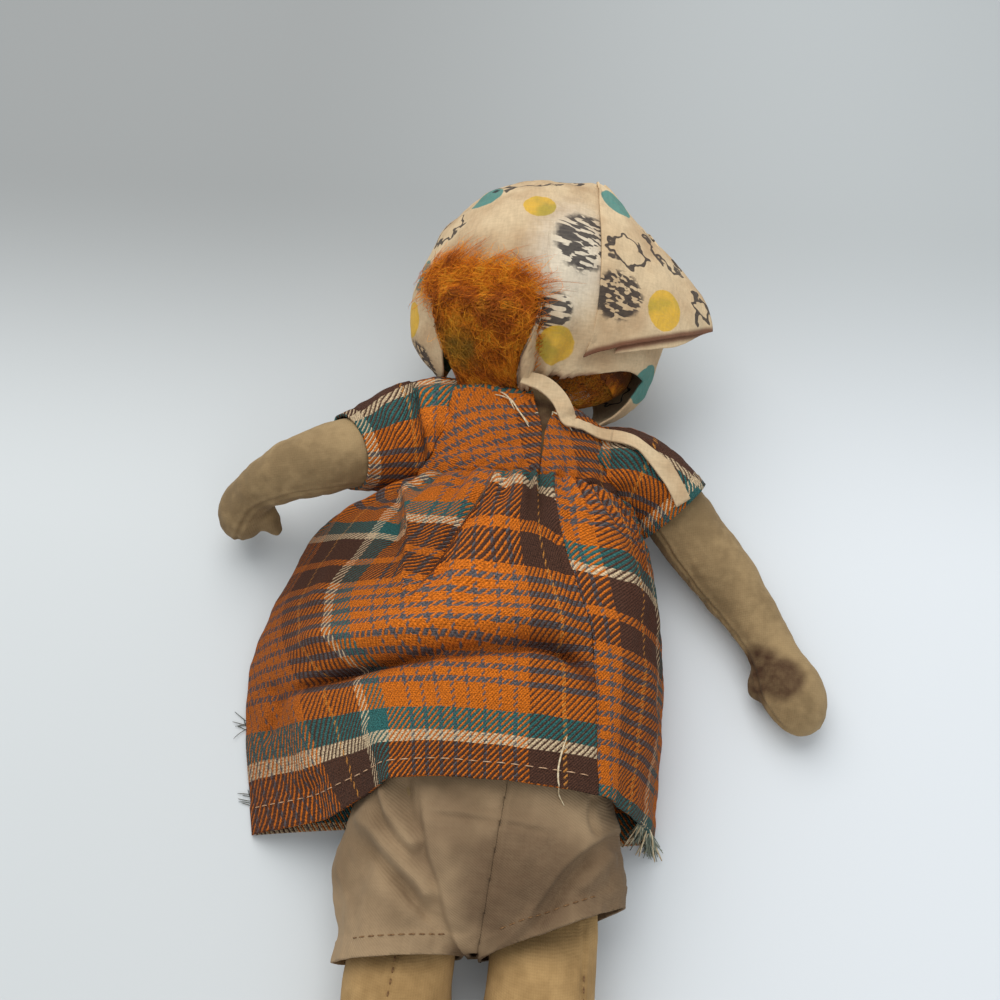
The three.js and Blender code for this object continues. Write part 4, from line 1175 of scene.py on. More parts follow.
# %% Head skin with a painted face, and its stuffing
FACE_MIDDLE, ROUND = 270, (1, 1, 1)
FACE = {
    "eye_white": (rgb(236, 226, 204), 18, 86, 6.2, ROUND, 0.03),
    "eye": (rgb(70, 92, 84), 17, 86, 4.3, ROUND, 0.03),
    "pupil": (rgb(28, 22, 20), 17, 86, 2.3, ROUND, 0.05),
    "cheek": (rgb(206, 120, 96), 31, 106, 8.5, ROUND, 0.45),
    "nose": (rgb(176, 88, 66), 3, 99, 1.2, ROUND, 0.1),
    "mouth": (rgb(170, 52, 44), 0, 114, 1, (6.5, 1.6, 5), 0.06),
}


def on_head(turn, fall, grow):
    """A place on the head as plain numbers, for a finish."""
    return tuple(float(x) for x in head_at(float(turn), float(fall), float(grow)))

# %% Making the head
def painted_face():
    """Each mark but the mouth is painted on both sides of the face's middle."""
    marks = []
    for dye, aside, fall, size, shape, soft in FACE.values():
        for turn in sorted({FACE_MIDDLE + aside, FACE_MIDDLE - aside}, reverse=True):
            sizes = tuple(size * part for part in shape)
            marks.append((dye, on_head(turn, fall, 0), sizes, (0, 0, 0), soft))
    return cotton("face_cotton", rgb(166, 140, 100), rgb(136, 112, 79), rgb(80, 52, 36), marks)


def head_bag(grow, floor):
    turn, fall = grid_of(turns, np.concatenate([[0.0], np.linspace(2, 178, 88), [180.0]]))
    bag = head_at(turn, fall, grow)
    bag = swelled(bag, ripples(bag, 24, 5) * 0.3 * np.sin(np.radians(fall)))
    bag = on_floor(bag, floor)
    x, y, z = parts(bag)
    reach = NECK_RADIUS + AIR + 0.2 - min(grow, 0)
    across = (x - NECK[0]) ** 2 + (z - NECK[2]) ** 2
    dent = np.sqrt(np.maximum(reach**2 - across, 0))
    pushed = (across < reach**2) & (np.abs(y - NECK[1]) < dent)
    return stack(x, np.where(pushed, NECK[1] + dent, y), z)


soiled(skin("head_skin", head_bag(0.0, 0.0), painted_face()), (HEAD + (0, 0, -42), 20, 0.2))
fill = head_bag(-COTTON - AIR - 0.5, COTTON + AIR)
soiled(skin("head_stuffing", lumpy(fill, 8, 6, 0.3, 0.3), stuffing_finish))
told("head_skin", "head_stuffing")

# %% [markdown]
# Arms and legs
#
# The arms are slim mitts with a short thumb, bent softly at the elbow. The hand of the right arm is
# stained dark from wrist to thumb, as if it had lain in the wet. The legs are a warmer cotton; a seam
# runs down the back of each, with a row of hand stitches. A thumb is a small limb of its own, melted on
# to the hand, because one swept form can't branch.

# %% Arms
ELBOWS = {"left": ((0.5, 0.62), 125.0), "right": ((0.42, 0.5, 0.57), 235.0)}
FILL_IN = COTTON + AIR + 0.6


def filling(name, limb, low, rows, size, seed):
    """The fibre inside a limb, a little smaller than its skin all round."""
    turn, share = grid_of(np.arange(0, 360, 7.5), np.linspace(low, 0.975, rows))
    fill = limb.at(turn, share, -FILL_IN)
    fill = on_floor(lumpy(fill, size, seed, 0.3), COTTON + AIR)
    soiled(skin(name, closed(fill), stuffing_finish))

# %% An arm with its thumb
def arm_bag(side):
    limb = arms[side]
    turn, share = grid_of(np.arange(0, 360, 5.0), along_limb(110, 0.86))
    body = skin(f"arm_{side}_skin", closed(limb.at(turn, share)), skin_cotton)
    root, end = (SHOULDERS[side] + np.array(p, float) for p in THUMBS[side])
    thick = profile([0, 2 * THUMB], [1, 1.7 * THUMB])
    nub = Limb([root, between(root, end, 0.5), end], (0, 0, 1), thick, thick, 0.4)
    turn, share = grid_of(np.arange(0, 360, 12.0), along_limb(24, 0.4))
    thumb = skin("thumb", closed(nub.at(turn, share)), skin_cotton)
    piece = melted(together(f"arm_{side}_skin", body, thumb), 1.3, 8)
    places, ways = places_of(piece), read(piece, "normal")
    change = ripples(places, 17, 11) * 0.3 + ripples(places, 5, 12) * 0.1
    for turn in (0.0, 180.0):
        away, _ = nearest(places, limb.at(turn, np.linspace(0.05, 0.97, 60)))
        change += 0.35 * bump(away, 1.6, 0.9) - 0.45 * bump(away, 0, 0.7)
    elbow_shares, inner_turn = ELBOWS[side]
    elbow = limb.at(180.0, np.array(elbow_shares))
    inner = limb.at(inner_turn, np.array([0.42, 0.5, 0.57]))
    for low, high in zip(elbow, inner):
        change += crease(places, [low, between(low, high, 0.5), high], 1.3, -0.8, 0.15)
    moved(piece, on_floor(places + ways * change[:, None]))
    return piece


STAINS = {
    "left": [((-108, 68, 30), 16, 0.18), ((-113, 70, 12), 18, 0.3), ((-97, 66, 18), 7, 0.3)],
    "right": [
        ((98, 26, 14), 13, 0.85), ((104, 22, 20), 11, 0.8), ((97, 18, 8), 9, 0.7), ((113, 26, 14), 6, 0.5),
    ],
}
for side, limb in arms.items():
    piece = arm_bag(side)
    soiled(piece, *STAINS[side], base=0.04)
    filling(f"arm_{side}_stuffing", limb, 0.06, 60, 7, 13)
    told(f"arm_{side}_skin", f"arm_{side}_stuffing")

# %% Legs and their stuffing
leg_cotton = cotton("leg_cotton", rgb(178, 143, 94), rgb(150, 118, 74), rgb(96, 66, 40))
SEAM_TURN = {"left": 270.0, "right": 45.0}
for side, limb in legs.items():
    turn, share = grid_of(np.arange(0, 360, 4.0), along_limb(190, 0.9))
    bag = limb.at(turn, share)
    change = ripples(bag, 24, 21) * 0.35 + ripples(bag, 7, 22) * 0.12
    away, _ = nearest(bag, limb.at(SEAM_TURN[side], np.linspace(0.03, 0.8, 80)))
    change += 0.4 * bump(away, 1.7, 0.9) - 0.5 * bump(away, 0, 0.7)
    change -= 0.9 * bump(share, 0.775, 0.012) + 0.6 * bump(share, 0.81, 0.01)
    bag = on_floor(swelled(bag, change))
    soiled(skin(f"leg_{side}_skin", closed(bag), leg_cotton), base=0.05)
    filling(f"leg_{side}_stuffing", limb, 0.04, 80, 8, 23)
    told(f"leg_{side}_skin", f"leg_{side}_stuffing")

# %% [markdown]
# Seam cloth and the waist elastic
#
# Where a limb meets the body there is no stuffing, only a flat fold of cotton, and it is this fold that
# bends. At the waist, a woven elastic runs round the body under the bloomers' top edge. Both are flat
# sheets with a thickness, the simplest form that still bends without a pinch.

# %% Flat seams at shoulders and hips
SEAM_WALL = SEAM - 2 * COTTON - 3 * AIR


def strip(name, low, high, middle_z):
    x, y = grid_of(*(np.linspace(a, b, 26) for a, b in zip(low, high)))
    wave = ripples(stack(x, y, x * 0), 6, 31) * 0.05
    grid = stack(x, y, middle_z + SEAM_WALL / 2 + wave)
    soiled(cloth(name, grid, stack(x, y), SEAM_WALL, skin_cotton))


for side, sign in SIDES.items():
    middle, wide = sign * LEG_X, LEG_THICK / 4
    strip(f"hip_seam_{side}", (middle - wide, HIP_Y - 3), (middle + wide, HIP_Y + 3), HIP_Z)
    joint, long = SHOULDERS[side], ARM_THICK / 3
    body_x = torso_at(101.0, 90.0 - 90.0 * sign, 0.3)[0]
    near, far = sorted([float(body_x), joint[0] + sign * 1.5])
    strip(f"shoulder_seam_{side}", (near, joint[1] - long), (far, joint[1] + long), joint[2])
    told(f"hip_seam_{side}", f"shoulder_seam_{side}")

# %% Elastic
WAIST_RADIUS = 33
turn, up = grid_of(turns, np.linspace(22, 28, 9))
band = torso_at(up, turn, AIR + 0.2 + 0.6 + 0.12 * np.cos(up * 2 * math.pi / 1.5))
round_it = np.radians(np.concatenate([turns, [360.0]]))
pattern = stack(*grid_of(round_it * WAIST_RADIUS, up[0]))
soiled(cloth("waist_elastic", band, pattern, 0.6, webbing(), wrap=True, inside=np.array([0, 25, 27])))
told("waist_elastic")

# %% [markdown]
# The skirt
#
# The skirt is laid out by rails that run from the yoke to the hem, as ribs in a lampshade would. A place
# on the cloth is c, how far round it is counted in rails, and s, how far down. Folds are added to that
# smooth form along its own outward direction. The cutting pattern is found from the same two numbers, so
# the plaid bends with the folds and runs level with the hem. A cloth simulation could drape the skirt,
# but here each fold has to lie where it lies on the real doll.

# %% Rails of the skirt
SKIRT_LENGTH, SKIRT_LEFT, SKIRT_RIGHT, SKIRT_RISE = 116, 96, 62, 60
BODICE_OUT = EASE + PLAID
SKIRT_DOWN = [0, 0.12, 0.3, 0.55, 0.8, 1]
RAILS = [
    (0, (0.8, 0.11, 0.22), (0.9, 0.27, 0.02), (0.96, 0.535, 0), (0.97, 0.81, 0), (0.94, 1.035, 0)),
    (28, (0.81, 0.11, 0.48), (0.92, 0.275, 0.4), (0.96, 0.54, 0.37), (0.94, 0.81, 0.35), (0.9, 1.03, 0.31)),
    (
        52,
        (0.62, 0.115, 0.82), (0.71, 0.28, 0.79), (0.78, 0.55, 0.77), (0.76, 0.81, 0.74), (0.71, 1.015, 0.69),
    ),
    (72, (0.25, 0.117, 0.98), (0.33, 0.29, 0.98), (0.5, 0.55, 0.95), (0.56, 0.81, 0.89), (0.58, 1, 0.84)),
    (90, (0.02, 0.12, 0.99), (0, 0.3, 1), (0, 0.55, 1.005), (0.03, 0.81, 0.97), (0.06, 0.995, 0.93)),
    (
        125,
        (-0.35, 0.12, 0.91), (-0.38, 0.29, 0.91), (-0.4, 0.55, 0.9), (-0.35, 0.81, 0.86), (-0.3, 1.01, 0.86),
    ),
    (
        152,
        (-0.71, 0.13, 0.57), (-0.81, 0.28, 0.49), (-0.83, 0.54, 0.45),
        (-0.75, 0.82, 0.4), (-0.545, 1.085, 0.42),
    ),
    (180, (-0.72, 0.14, 0.2), (-0.9, 0.285, 0.02), (-1, 0.55, 0), (-0.97, 0.82, 0), (-0.87, 1.12, 0)),
    (225, (-0.47, 0.13, 0), (-0.5, 0.29, 0), (-0.52, 0.55, 0), (-0.48, 0.81, 0), (-0.44, 1.07, 0)),
    (270, (0, 0.13, 0), (0, 0.29, 0), (0, 0.55, 0), (0, 0.81, 0), (0, 1.06, 0)),
    (315, (0.55, 0.13, 0), (0.58, 0.29, 0), (0.61, 0.55, 0), (0.58, 0.81, 0), (0.55, 1.06, 0)),
]


def rail(angle, *stations):
    start = torso_at(float(YOKE_Y), float(angle), BODICE_OUT)
    points = []
    for spread, down, high in stations:
        wide = SKIRT_LEFT if spread < 0 else SKIRT_RIGHT
        points.append((spread * wide, YOKE_Y - down * SKIRT_LENGTH, high * SKIRT_RISE))
    curves = [profile(*zip(SKIRT_DOWN, column)) for column in zip(start, *points)]
    return lambda s: np.stack([curve(s) for curve in curves], axis=-1)


rails = [rail(*row) for row in RAILS]
print(len(rails), "rails round the skirt")


def skirt_base(c, s):
    """A smooth surface through the rails; each row of points has one c and each column one s."""
    count = len(rails)
    lines = np.stack([way(s) for way in rails])
    i = np.floor(c).astype(int)
    t = (c - i)[:, None, None]
    p, q, r, u = (lines[(i + k) % count] for k in (-1, 0, 1, 2))
    return q + 0.5 * t * (r - p + t * (2 * p - 5 * q + 4 * r - u + t * (3 * (q - r) + u - p)))


# %% Folds of the skirt
GROOVE = [(-80, -3), (-66, 0), (-52, 2), (-33, 4.5), (-16, 7.5), (3, 10.5), (14, 12), (24, 9.5), (32, 2)]
SKIRT_FOLDS = [
    (GROOVE, 3.6, -4.5),
    (GROOVE, 1.5, -4.5),
    ([(-80, 13), (-66, 15), (-50, 13), (-34, 14), (-14, 17), (5, 19), (18, 19), (31, 13)], 5.5, 4.6),
    ([(-9, 73), (-14.8, 60), (-20, 50), (-23.5, 38), (-27, 26)], 3.2, -3.6),
    ([(-2, 70), (-6, 54), (-10, 40), (-14, 28)], 4.5, 1.8),
    ([(-9.6, 76), (-8.6, 64), (-6.5, 50)], 1.8, -1.6),
    ([(-40, 76), (-38, 61), (-35.2, 43), (-36, 26)], 2.8, 2.6),
    ([(-45, 72), (-43, 58), (-41, 42)], 2.8, -2.4),
    ([(-60, 58), (-64, 40), (-70, 26)], 5, 1.6),
    ([(-85.5, 4), (-80, -8), (-86, -18)], 3, -2.4),
    ([(-72, -2), (-66, -18), (-60, -36)], 5, 1.8),
    ([(-28, -38), (-34, -26), (-42, -14)], 3.4, 2.0),
    ([(-20, -10), (2, -6), (22, -8)], 8, 1.4),
    ([(12, 78), (15, 62), (19, 45), (25, 26), (33, 10), (36, -10), (34, -32)], 1.4, -1.0),
    ([(22, 76), (33, 64), (43, 48), (50, 30)], 4, 2.0),
    ([(18, 66), (26, 52), (32, 38)], 3, -1.6),
    ([(52, 20), (54, 0), (54, -20)], 3.5, 1.5),
    ([(45, 16), (46, -4), (44, -24)], 3.5, -1.4),
]

# %% The skirt's outer face
def skirt_folds(c, s, base):
    """Gathers fade down from the yoke, and each larger fold runs along its own line, as seen from above."""
    over = smooth(c, 0, 0.7) * (1 - smooth(c, 6.2, 7))
    wave = np.cos(2 * math.pi * 2.25 * c + 0.9 * np.sin(5 * c)) + 0.5 * np.cos(2 * math.pi * 4.1 * c + 2)
    gathers = 1.3 * wave * (1 - smooth(s, 0.05, 0.28)) * smooth(s, -0.01, 0.025)
    gathers += 1.5 * bump(s, 0.035, 0.03)
    swell = 0.46 + 0.012 * (c - 4.5) ** 2
    across = smooth(c, 2.9, 3.6) * (1 - smooth(c, 5.7, 6.5))
    total = over * gathers + 1.6 * bump(s, swell, 0.085) * across
    total += over * 1.2 * (bump(c, 5.8, 0.2) + bump(c, 1.7, 0.25) - bump(c, 5.45, 0.14)) * bump(s, 0.88, 0.22)
    raised = smooth(base[..., 2], 4, 14)
    for line, width, height in SKIRT_FOLDS:
        total += crease(base, line, width, height, 0.18) * raised
    return total


def clear_of_seat(grid):
    """Lifts the back of the skirt where it would press into the bloomers below it."""
    x, y, z = parts(grid)
    share = np.clip(1 - ((x - lean(y)) / (torso_wide(y) + 4)) ** 2, 0, 1)
    seat = torso_middle(y) + (torso_deep(y) + EASE + LINEN + PLAID + 1.3) * np.sqrt(share)
    below = (y < YOKE_Y - 12) & (z > torso_middle(y)) & (share > 0.05)
    return stack(x, y, np.where(below, np.maximum(z, seat), z))


def skirt_at(c, s, extra=0.0):
    """Points of the skirt's outer face, with its folds. Each row of points has one c, each column one s."""
    base = skirt_base(c, s)
    round_it = skirt_base(c + 0.02, s) - skirt_base(c - 0.02, s)
    down = skirt_base(c, np.minimum(1, s + 0.01)) - skirt_base(c, np.maximum(0, s - 0.01))
    out = unit(np.cross(round_it, down))
    cc, ss = grid_of(c, s)
    grid = base + out * (skirt_folds(cc, ss, base) + extra)[..., None]
    grid = clear_of_seat(grid)
    small = ripples(base, 18, 43) * 0.35 + ripples(base, 9, 41, lie=(1, 0.6, 1)) * 0.2
    small += ripples(base, 4, 42) * 0.07
    above = smooth(base[..., 2], 0.5, 6)
    return grid + out * (small * above)[..., None]


# %% Skirt panels on their pattern
HEM_BAND = 24.5
SKIRT_DROP = 123


def skirt_panel(name, start, stop, rows, hem_band, seam_band, seam_row, lift=None):
    """The bands are places in the plaid's repeat: one at the hem, and one at the row that is the seam."""
    c, s = np.linspace(start, stop, rows), np.linspace(0.007, 1, 230)
    cc, ss = grid_of(c, s)
    hem = smooth(ss, 1 - 7 / SKIRT_LENGTH, 1 - 6.2 / SKIRT_LENGTH)
    grid = skirt_at(c, s, 0.45 * hem)
    wide = skirt_base(c, np.array([0.7]))[:, 0]
    run = summed(np.linalg.norm(np.diff(wide, axis=0), axis=1))
    raised, sway = (0, 0) if lift is None else lift(cc, ss)
    along = hem_band - SKIRT_DROP * (1 - ss) + raised
    across = run[seam_row] - run - seam_band
    pattern = stack(across[:, None] + sway, along)
    piece = cloth(name, grid, pattern, PLAID, plaid, floor=0.0, inside=np.array([-15, 20, 20.0]))
    print(name, "is", round(run[-1]), "mm wide")
    return piece, grid, run

# %% The three panels
plaid = plaid_twill()
SEAM_RAIL, LEFT_RAIL, SEAM_GAP = 3, 7, 0.012
pleat_at = profile([0, 4.3], [0.5, 4.82])
step_at = profile([0, 5.5], [0.19, 5.07], [0.35, 4.96], [0.5, 4.9])


def back_lift(c, s):
    """How the pattern lies on the folded back: how far each place is raised and how far it sways sideways.

    Two pleats hide some cloth, so the pattern jumps there, and the jump runs out where the pleat does.
    """
    pleat = smooth(c - pleat_at(s), -0.006, 0.006)
    step = smooth(c - step_at(s), -0.006, 0.006)
    right = profile([3.0, 9], [3.6, 14], [4.3, 16])(c)
    left = profile([4.3, -6], [5.1, -8])(c)
    far = profile([5.0, -22], [5.6, -13], [6.3, -1], [7, 0])(c)
    raised = between(between(right, left, pleat), far, step) * (1 - smooth(s, 0.05, 0.55))
    sway = 10 * np.clip((c - 3) / 1.3, 0, 1) * (1 - pleat) * (1 - smooth(s, 0.15, 0.5))
    sway += 16 * bump(s, 0.48, 0.2) * smooth(c, 3.7, 5.2)
    return raised, sway


back, back_grid, back_run = skirt_panel(
    "skirt_back", SEAM_RAIL + 0.004, LEFT_RAIL - SEAM_GAP, 300, HEM_BAND, 14.5, 0, back_lift
)
side_panel, side_grid, side_run = skirt_panel(
    "skirt_side", SEAM_GAP, SEAM_RAIL - 0.004, 190, 4.0, 47.0, -1
)
front, _, _ = skirt_panel(
    "skirt_front", LEFT_RAIL + 7 * SEAM_GAP, len(rails) - 5 * SEAM_GAP, 90, 10.0, 20.0, 0
)
# Painted shade, stored with the soil numbers: a dark line along the groove under the swell of the back.
for piece in (back, side_panel, front):
    shade, _ = nearest(places_of(piece), GROOVE)
    x = places_of(piece)[:, 0]
    # Darker sides: painted shade where less light falls, and on the left also a rustier brown cloth.
    sides = 0.6 * smooth(-x, 44, 84) + 0.46 * smooth(x, 30, 56)
    store(piece, "soil", np.maximum(0.8 * bump(shade, 0, 3.4) * (piece is back), sides))

# %% [markdown]
# The bodice
#
# The bodice is a short yoke: a front, and two backs that meet at a slit. It was cut from the same plaid
# but aslant, so its stripes climb to the right. Under the sleeves the yoke is cut away for the armholes:
# the cells of the grid that lie inside a sleeve are left out. A Boolean modifier could cut them too, but
# it would spoil the cutting pattern.

# %% Tubes of the sleeves, and what lies inside them
SLIT_X, SLIT_OPEN = 9.0, 6.0
SLEEVE_LENGTH, SLEEVE_RADIUS = 27, 17
CHEST_MIDDLE = np.array([0, 100, 28.0])


def sleeve_limb(side):
    way = arms[side]
    reach = SLEEVE_LENGTH / way.length
    droop, rise = (8, 3) if side == "left" else (2, 0)
    start = SHOULDERS[side]
    inner = [(start[0] * share, start[1] + rise, start[2]) for share in (0.66, 0.85)]
    path = [*inner, *way.path.at(np.array([0.08, 0.55, 1]) * reach)]
    full = 2 * SLEEVE_RADIUS
    wide = profile([0, full + droop], [0.5, full + droop], [1, full])
    return Limb(path, (0, 1, 0), wide, profile([0, full], [1, full]))


sleeves = {side: sleeve_limb(side) for side in arms}


def inside_limb(points, limb, wall):
    """Which points lie deeper than wall inside a straight-sided limb."""
    shares = np.linspace(0, 1, 40)
    middle, across, up = limb.frame(shares)
    away = points[:, None] - middle[None]
    i = np.argmin(np.linalg.norm(away, axis=-1), axis=1)
    near = away[np.arange(len(points)), i]
    a = np.sum(near * across[i], -1) / (limb.wide(shares[i]) / 2 - wall)
    b = np.sum(near * up[i], -1) / (limb.thick(shares[i]) / 2 - wall)
    ahead = np.cross(across[i], up[i])
    end = np.abs(np.sum(near * ahead, -1)) < 3.0
    return (a**2 + b**2 < 1) & end


def inside_torso(points, grow):
    x, y, z = points.T
    side = np.clip((x - lean(y)) / (torso_wide(y) + grow), -1, 1)
    y = y + shrug(y, side)
    a = (x - lean(y)) / (torso_wide(y) + grow)
    b = (z - torso_middle(y)) / (torso_deep(y) + grow)
    return a**2 + b**2 < 1

# %% The pulled shoulder, the slit and the form of the yoke
def hike(points):
    """How far the dress is pulled up over the doll's left shoulder, for points on it."""
    x, y, z = parts(points)
    return 8 * smooth(-x, 2, 28) * (1 - smooth(-x, 46, 72)) * smooth(y, 98, 122) * smooth(z, 18, 44)


def hiked(points, share=1.0):
    return points + stack(0, share * hike(points), 0)


def unhiked(points):
    """Where points lay before the pull, closely enough to cut the armholes."""
    return hiked(points, -0.75)


def slit_x(y, sign):
    opening = 0.2 + 0.3 * smooth(y, YOKE_Y, YOKE_Y + 17)
    opening += (SLIT_OPEN - 0.5) * smooth(y, YOKE_Y + 17, COLLAR_Y + 5)
    return SLIT_X + sign * opening


def yoke(name, start, stop, rows, turned, band, folds):
    """A part of the yoke between two angles round the body, which may change up the body."""
    y = np.concatenate([[YOKE_Y - 1.6, YOKE_Y - 0.8, YOKE_Y], np.linspace(YOKE_Y + 0.7, COLLAR_Y, 110)])
    share, up = grid_of(np.linspace(0, 1, rows), y)
    turn = between(start(up), stop(up), share)
    grid = torso_at(up, turn, BODICE_OUT - 1.2 * (1 - smooth(up, YOKE_Y - 1, YOKE_Y + 1.4)))
    flat_x = summed(np.linalg.norm(np.diff(grid, axis=0), axis=2))
    flat_x = flat_x[-1:] - flat_x if turned > 0 else flat_x
    hem = 0.5 * smooth(up, COLLAR_Y - 4.2, COLLAR_Y - 3.6)
    change = folds(grid) + hem + ripples(grid, 6, 51) * 0.16
    grid = hiked(grid + outward(grid) * change[..., None])
    tilt = math.radians(abs(turned))
    across = flat_x * math.cos(tilt) + up * math.sin(tilt)
    along = up * math.cos(tilt) - flat_x * math.sin(tilt)
    pattern = stack(across + band[0], along + band[1])
    piece = cloth(name, grid, pattern, PLAID, plaid, keep=outside_sleeves, floor=0.0, inside=CHEST_MIDDLE)
    soiled(piece, base=0.22)

# %% Armholes and edges of the slit
def outside_sleeves(points):
    """Which points of the yoke are left when the armholes are cut."""
    left = inside_limb(unhiked(points), sleeves["left"], PLAID + 1)
    return ~(left | inside_limb(points, sleeves["right"], PLAID + 1))


def outward(grid):
    """Outward directions of a surface that lies round the torso."""
    ways = facing(grid)
    flip = np.sum(ways * (grid - CHEST_MIDDLE), -1, keepdims=True)
    return ways * np.where(flip < 0, -1, 1)


def slit_turn(sign):
    def turn(y):
        wide = torso_wide(y) + BODICE_OUT
        return np.degrees(np.arccos(np.clip((slit_x(y, sign) - lean(y)) / wide, -1, 1)))

    return turn

# %% Folds of the yoke, and its three parts
YOKE_LUMPS = [
    (1.8, (-4, 9), (88, 4)), (-1.3, (-6, 10), (93.5, 2.2)),
    (1.2, (-26, 8), (88, 3)), (-1.0, (-27, 9), (92.5, 2)),
]
YOKE_DRAGS = [
    ([(-34, 100), (-20, 104), (-6, 98)], 3, 1.0), ([(16, 92), (28, 98), (36, 96)], 2.5, 1.2),
    ([(-33, 112), (-24, 118), (-12, 119)], 2.6, 1.0), ([(13, 108), (20, 102), (30, 104)], 2.0, -0.9),
]


def yoke_folds(grid):
    """The back of the yoke bunches up over the gathers and drags towards the arms."""
    x, y = grid[..., 0], grid[..., 1]
    puckers = np.cos(x * 0.85 + 0.8 * np.sin(x * 0.3)) * smooth(y, YOKE_Y, YOKE_Y + 3)
    change = puckers * (1 - smooth(y, YOKE_Y + 1, YOKE_Y + 13))
    for height, across, up in YOKE_LUMPS:
        change += height * bump(x, *across) * bump(y, *up)
    for line, width, height in YOKE_DRAGS:
        change += crease(grid, line, width, height)
    return change


def plain_folds(grid):
    return 0.4 * np.cos(grid[..., 0] * 0.7) * (1 - smooth(grid[..., 1], YOKE_Y + 2, YOKE_Y + 12))


def at_turn(turn):
    return lambda y: turn + 0 * y


SEAM_SHARE = 0.4
left_side, right_side = 180 - SEAM_SHARE, SEAM_SHARE
yoke("bodice_front", at_turn(180 + SEAM_SHARE), at_turn(360 - SEAM_SHARE), 150, 0.01, (0, 30), plain_folds)
yoke("bodice_back_left", at_turn(left_side), slit_turn(-1), 120, -19, (-34, 72.5), yoke_folds)
yoke("bodice_back_right", slit_turn(1), at_turn(right_side), 90, -14, (14, 46), yoke_folds)
told("bodice_front", "bodice_back_left", "bodice_back_right")

# %% Sleeves
def sleeve(side, band):
    limb = sleeves[side]
    turn, share = grid_of(np.arange(0, 360, 2.5), np.linspace(0, 1, 90))
    grid = limb.at(turn, share)
    if side == "left":
        grid = grid + limb.path.ahead(share) * (6.5 * smooth(share, 0.3, 1))[..., None]
    hem = 0.5 * smooth(share, 0.86, 0.875)
    gathers = 0.7 * np.cos(np.radians(turn) * 11 + 2 * share) * (1 - smooth(share, 0.35, 0.8))
    sag = 1.3 * np.cos(np.radians(turn) * 3 + 1.0) * smooth(share, 0.5, 1)
    close = 2.4 * smooth(share, 0.6, 1) * (side == "left")
    change = gathers + hem + sag * 0.6 + ripples(grid, 7, 61) * 0.25 - close
    ways = unit(grid - limb.frame(share)[0])
    grid = grid + ways * change[..., None]
    around = np.radians(np.arange(0, 360.1, 2.5)) * SLEEVE_RADIUS
    round_it, along = grid_of(around, share[0] * limb.length)
    pattern = stack(band[0] + along, band[1] - SIDES[side] * round_it)
    middle = limb.at(0.0, 0.5) - limb.frame(np.array(0.5))[1] * SLEEVE_RADIUS
    piece = cloth(
        f"sleeve_{side}", hiked(grid), pattern, PLAID, plaid, wrap=True, inside=middle,
        keep=lambda points: ~inside_torso(unhiked(points), BODICE_OUT + AIR),
    )
    soiled(piece, base=0.12)


sleeve("left", (37, 4))
sleeve("right", (40, 34))
print("sleeves", [round(limb.length) for limb in sleeves.values()], "mm long")

# %% [markdown]
# The bloomers
#
# The bloomers have a baggy seat and two short legs, sewn together in the middle. Seat and legs are
# closed shapes that a voxel remesh melts into one; creases are pressed in along the lines where the
# cloth folds; then the form is cut open at the waist and cuffs, cut in two at the seam and given the
# thickness of the cloth.

# %% Seat and cuffs
WAIST_Y, CROTCH_Y, CUFF_RADIUS, SEAT_BAG = 30, -79, 20.5, 6.5
CUFFS = {"left": (-84.6, 0.13), "right": (-74, 0.43)}
MIDDLE_SLOPE = 0.098
seat_bag = profile(
    [CROTCH_Y, SEAT_BAG * 0.4], [HIP_Y + 4, SEAT_BAG], [HIP_Y + 18, SEAT_BAG * 0.5], [SEAT_Y, 0],
)
seat_top = profile(
    [CROTCH_Y, BODY_LIFT + HIP_DEPTH - 18], [HIP_Y - 4, BODY_LIFT + HIP_DEPTH - 11],
    [HIP_Y + 8, BODY_LIFT + HIP_DEPTH - 6],
    [HIP_Y + 22, float(torso_middle(HIP_Y + 22) + torso_deep(HIP_Y + 22))],
)


def seat_form():
    turn, y = grid_of(np.arange(0, 360, 4.0), np.linspace(WAIST_Y + 3, CROTCH_Y, 80))
    grow = EASE + LINEN
    high = np.where(y > HIP_Y + 22, torso_middle(y) + torso_deep(y), seat_top(y))
    middle = np.where(y > HIP_Y + 22, torso_middle(y), (high + BODY_LIFT) / 2)
    wide = torso_wide(np.maximum(y, HIP_Y + 10)) + grow + seat_bag(y)
    under = between(PLAID + AIR, 0, smooth(-y, -(CROTCH_Y + 38), -(CROTCH_Y + 24)))
    z = np.maximum(middle + (high - middle + grow) * np.sin(np.radians(turn)), under)
    return stack(lean(y) + wide * np.cos(np.radians(turn)), y, z)


def cuff_form(side):
    cuff, tilt = (CUFFS["left"][0] - 8, 0.05) if side < 0 else (CUFFS["right"][0] - 14, 0)
    turn, share = grid_of(np.arange(0, 360, 5.0), np.linspace(0, 1, 50))
    y = between(HIP_Y + 12, cuff, share)
    radius = CUFF_RADIUS - (1 - share) * 1.5
    x = radius * np.cos(np.radians(turn)) * (1 - 0.05 * (1 - share))
    z = np.maximum(CUFF_RADIUS + radius * np.sin(np.radians(turn)), 0)
    return stack(side * (LEG_X + 1.2) + x, y + tilt * share * x, z)

# %% Cutting a form open, and giving it the thickness of cloth
def cut(piece, point, way):
    """Cuts a mesh along a plane and removes what lies on the side that the direction points to."""
    work = bmesh.new()
    work.from_mesh(piece.data)
    every = work.verts[:] + work.edges[:] + work.faces[:]
    plane = {"plane_co": np.array(point) * MM, "plane_no": way, "dist": 1e-6}
    bmesh.ops.bisect_plane(work, geom=every, clear_outer=True, **plane)
    work.to_mesh(piece.data)
    work.free()


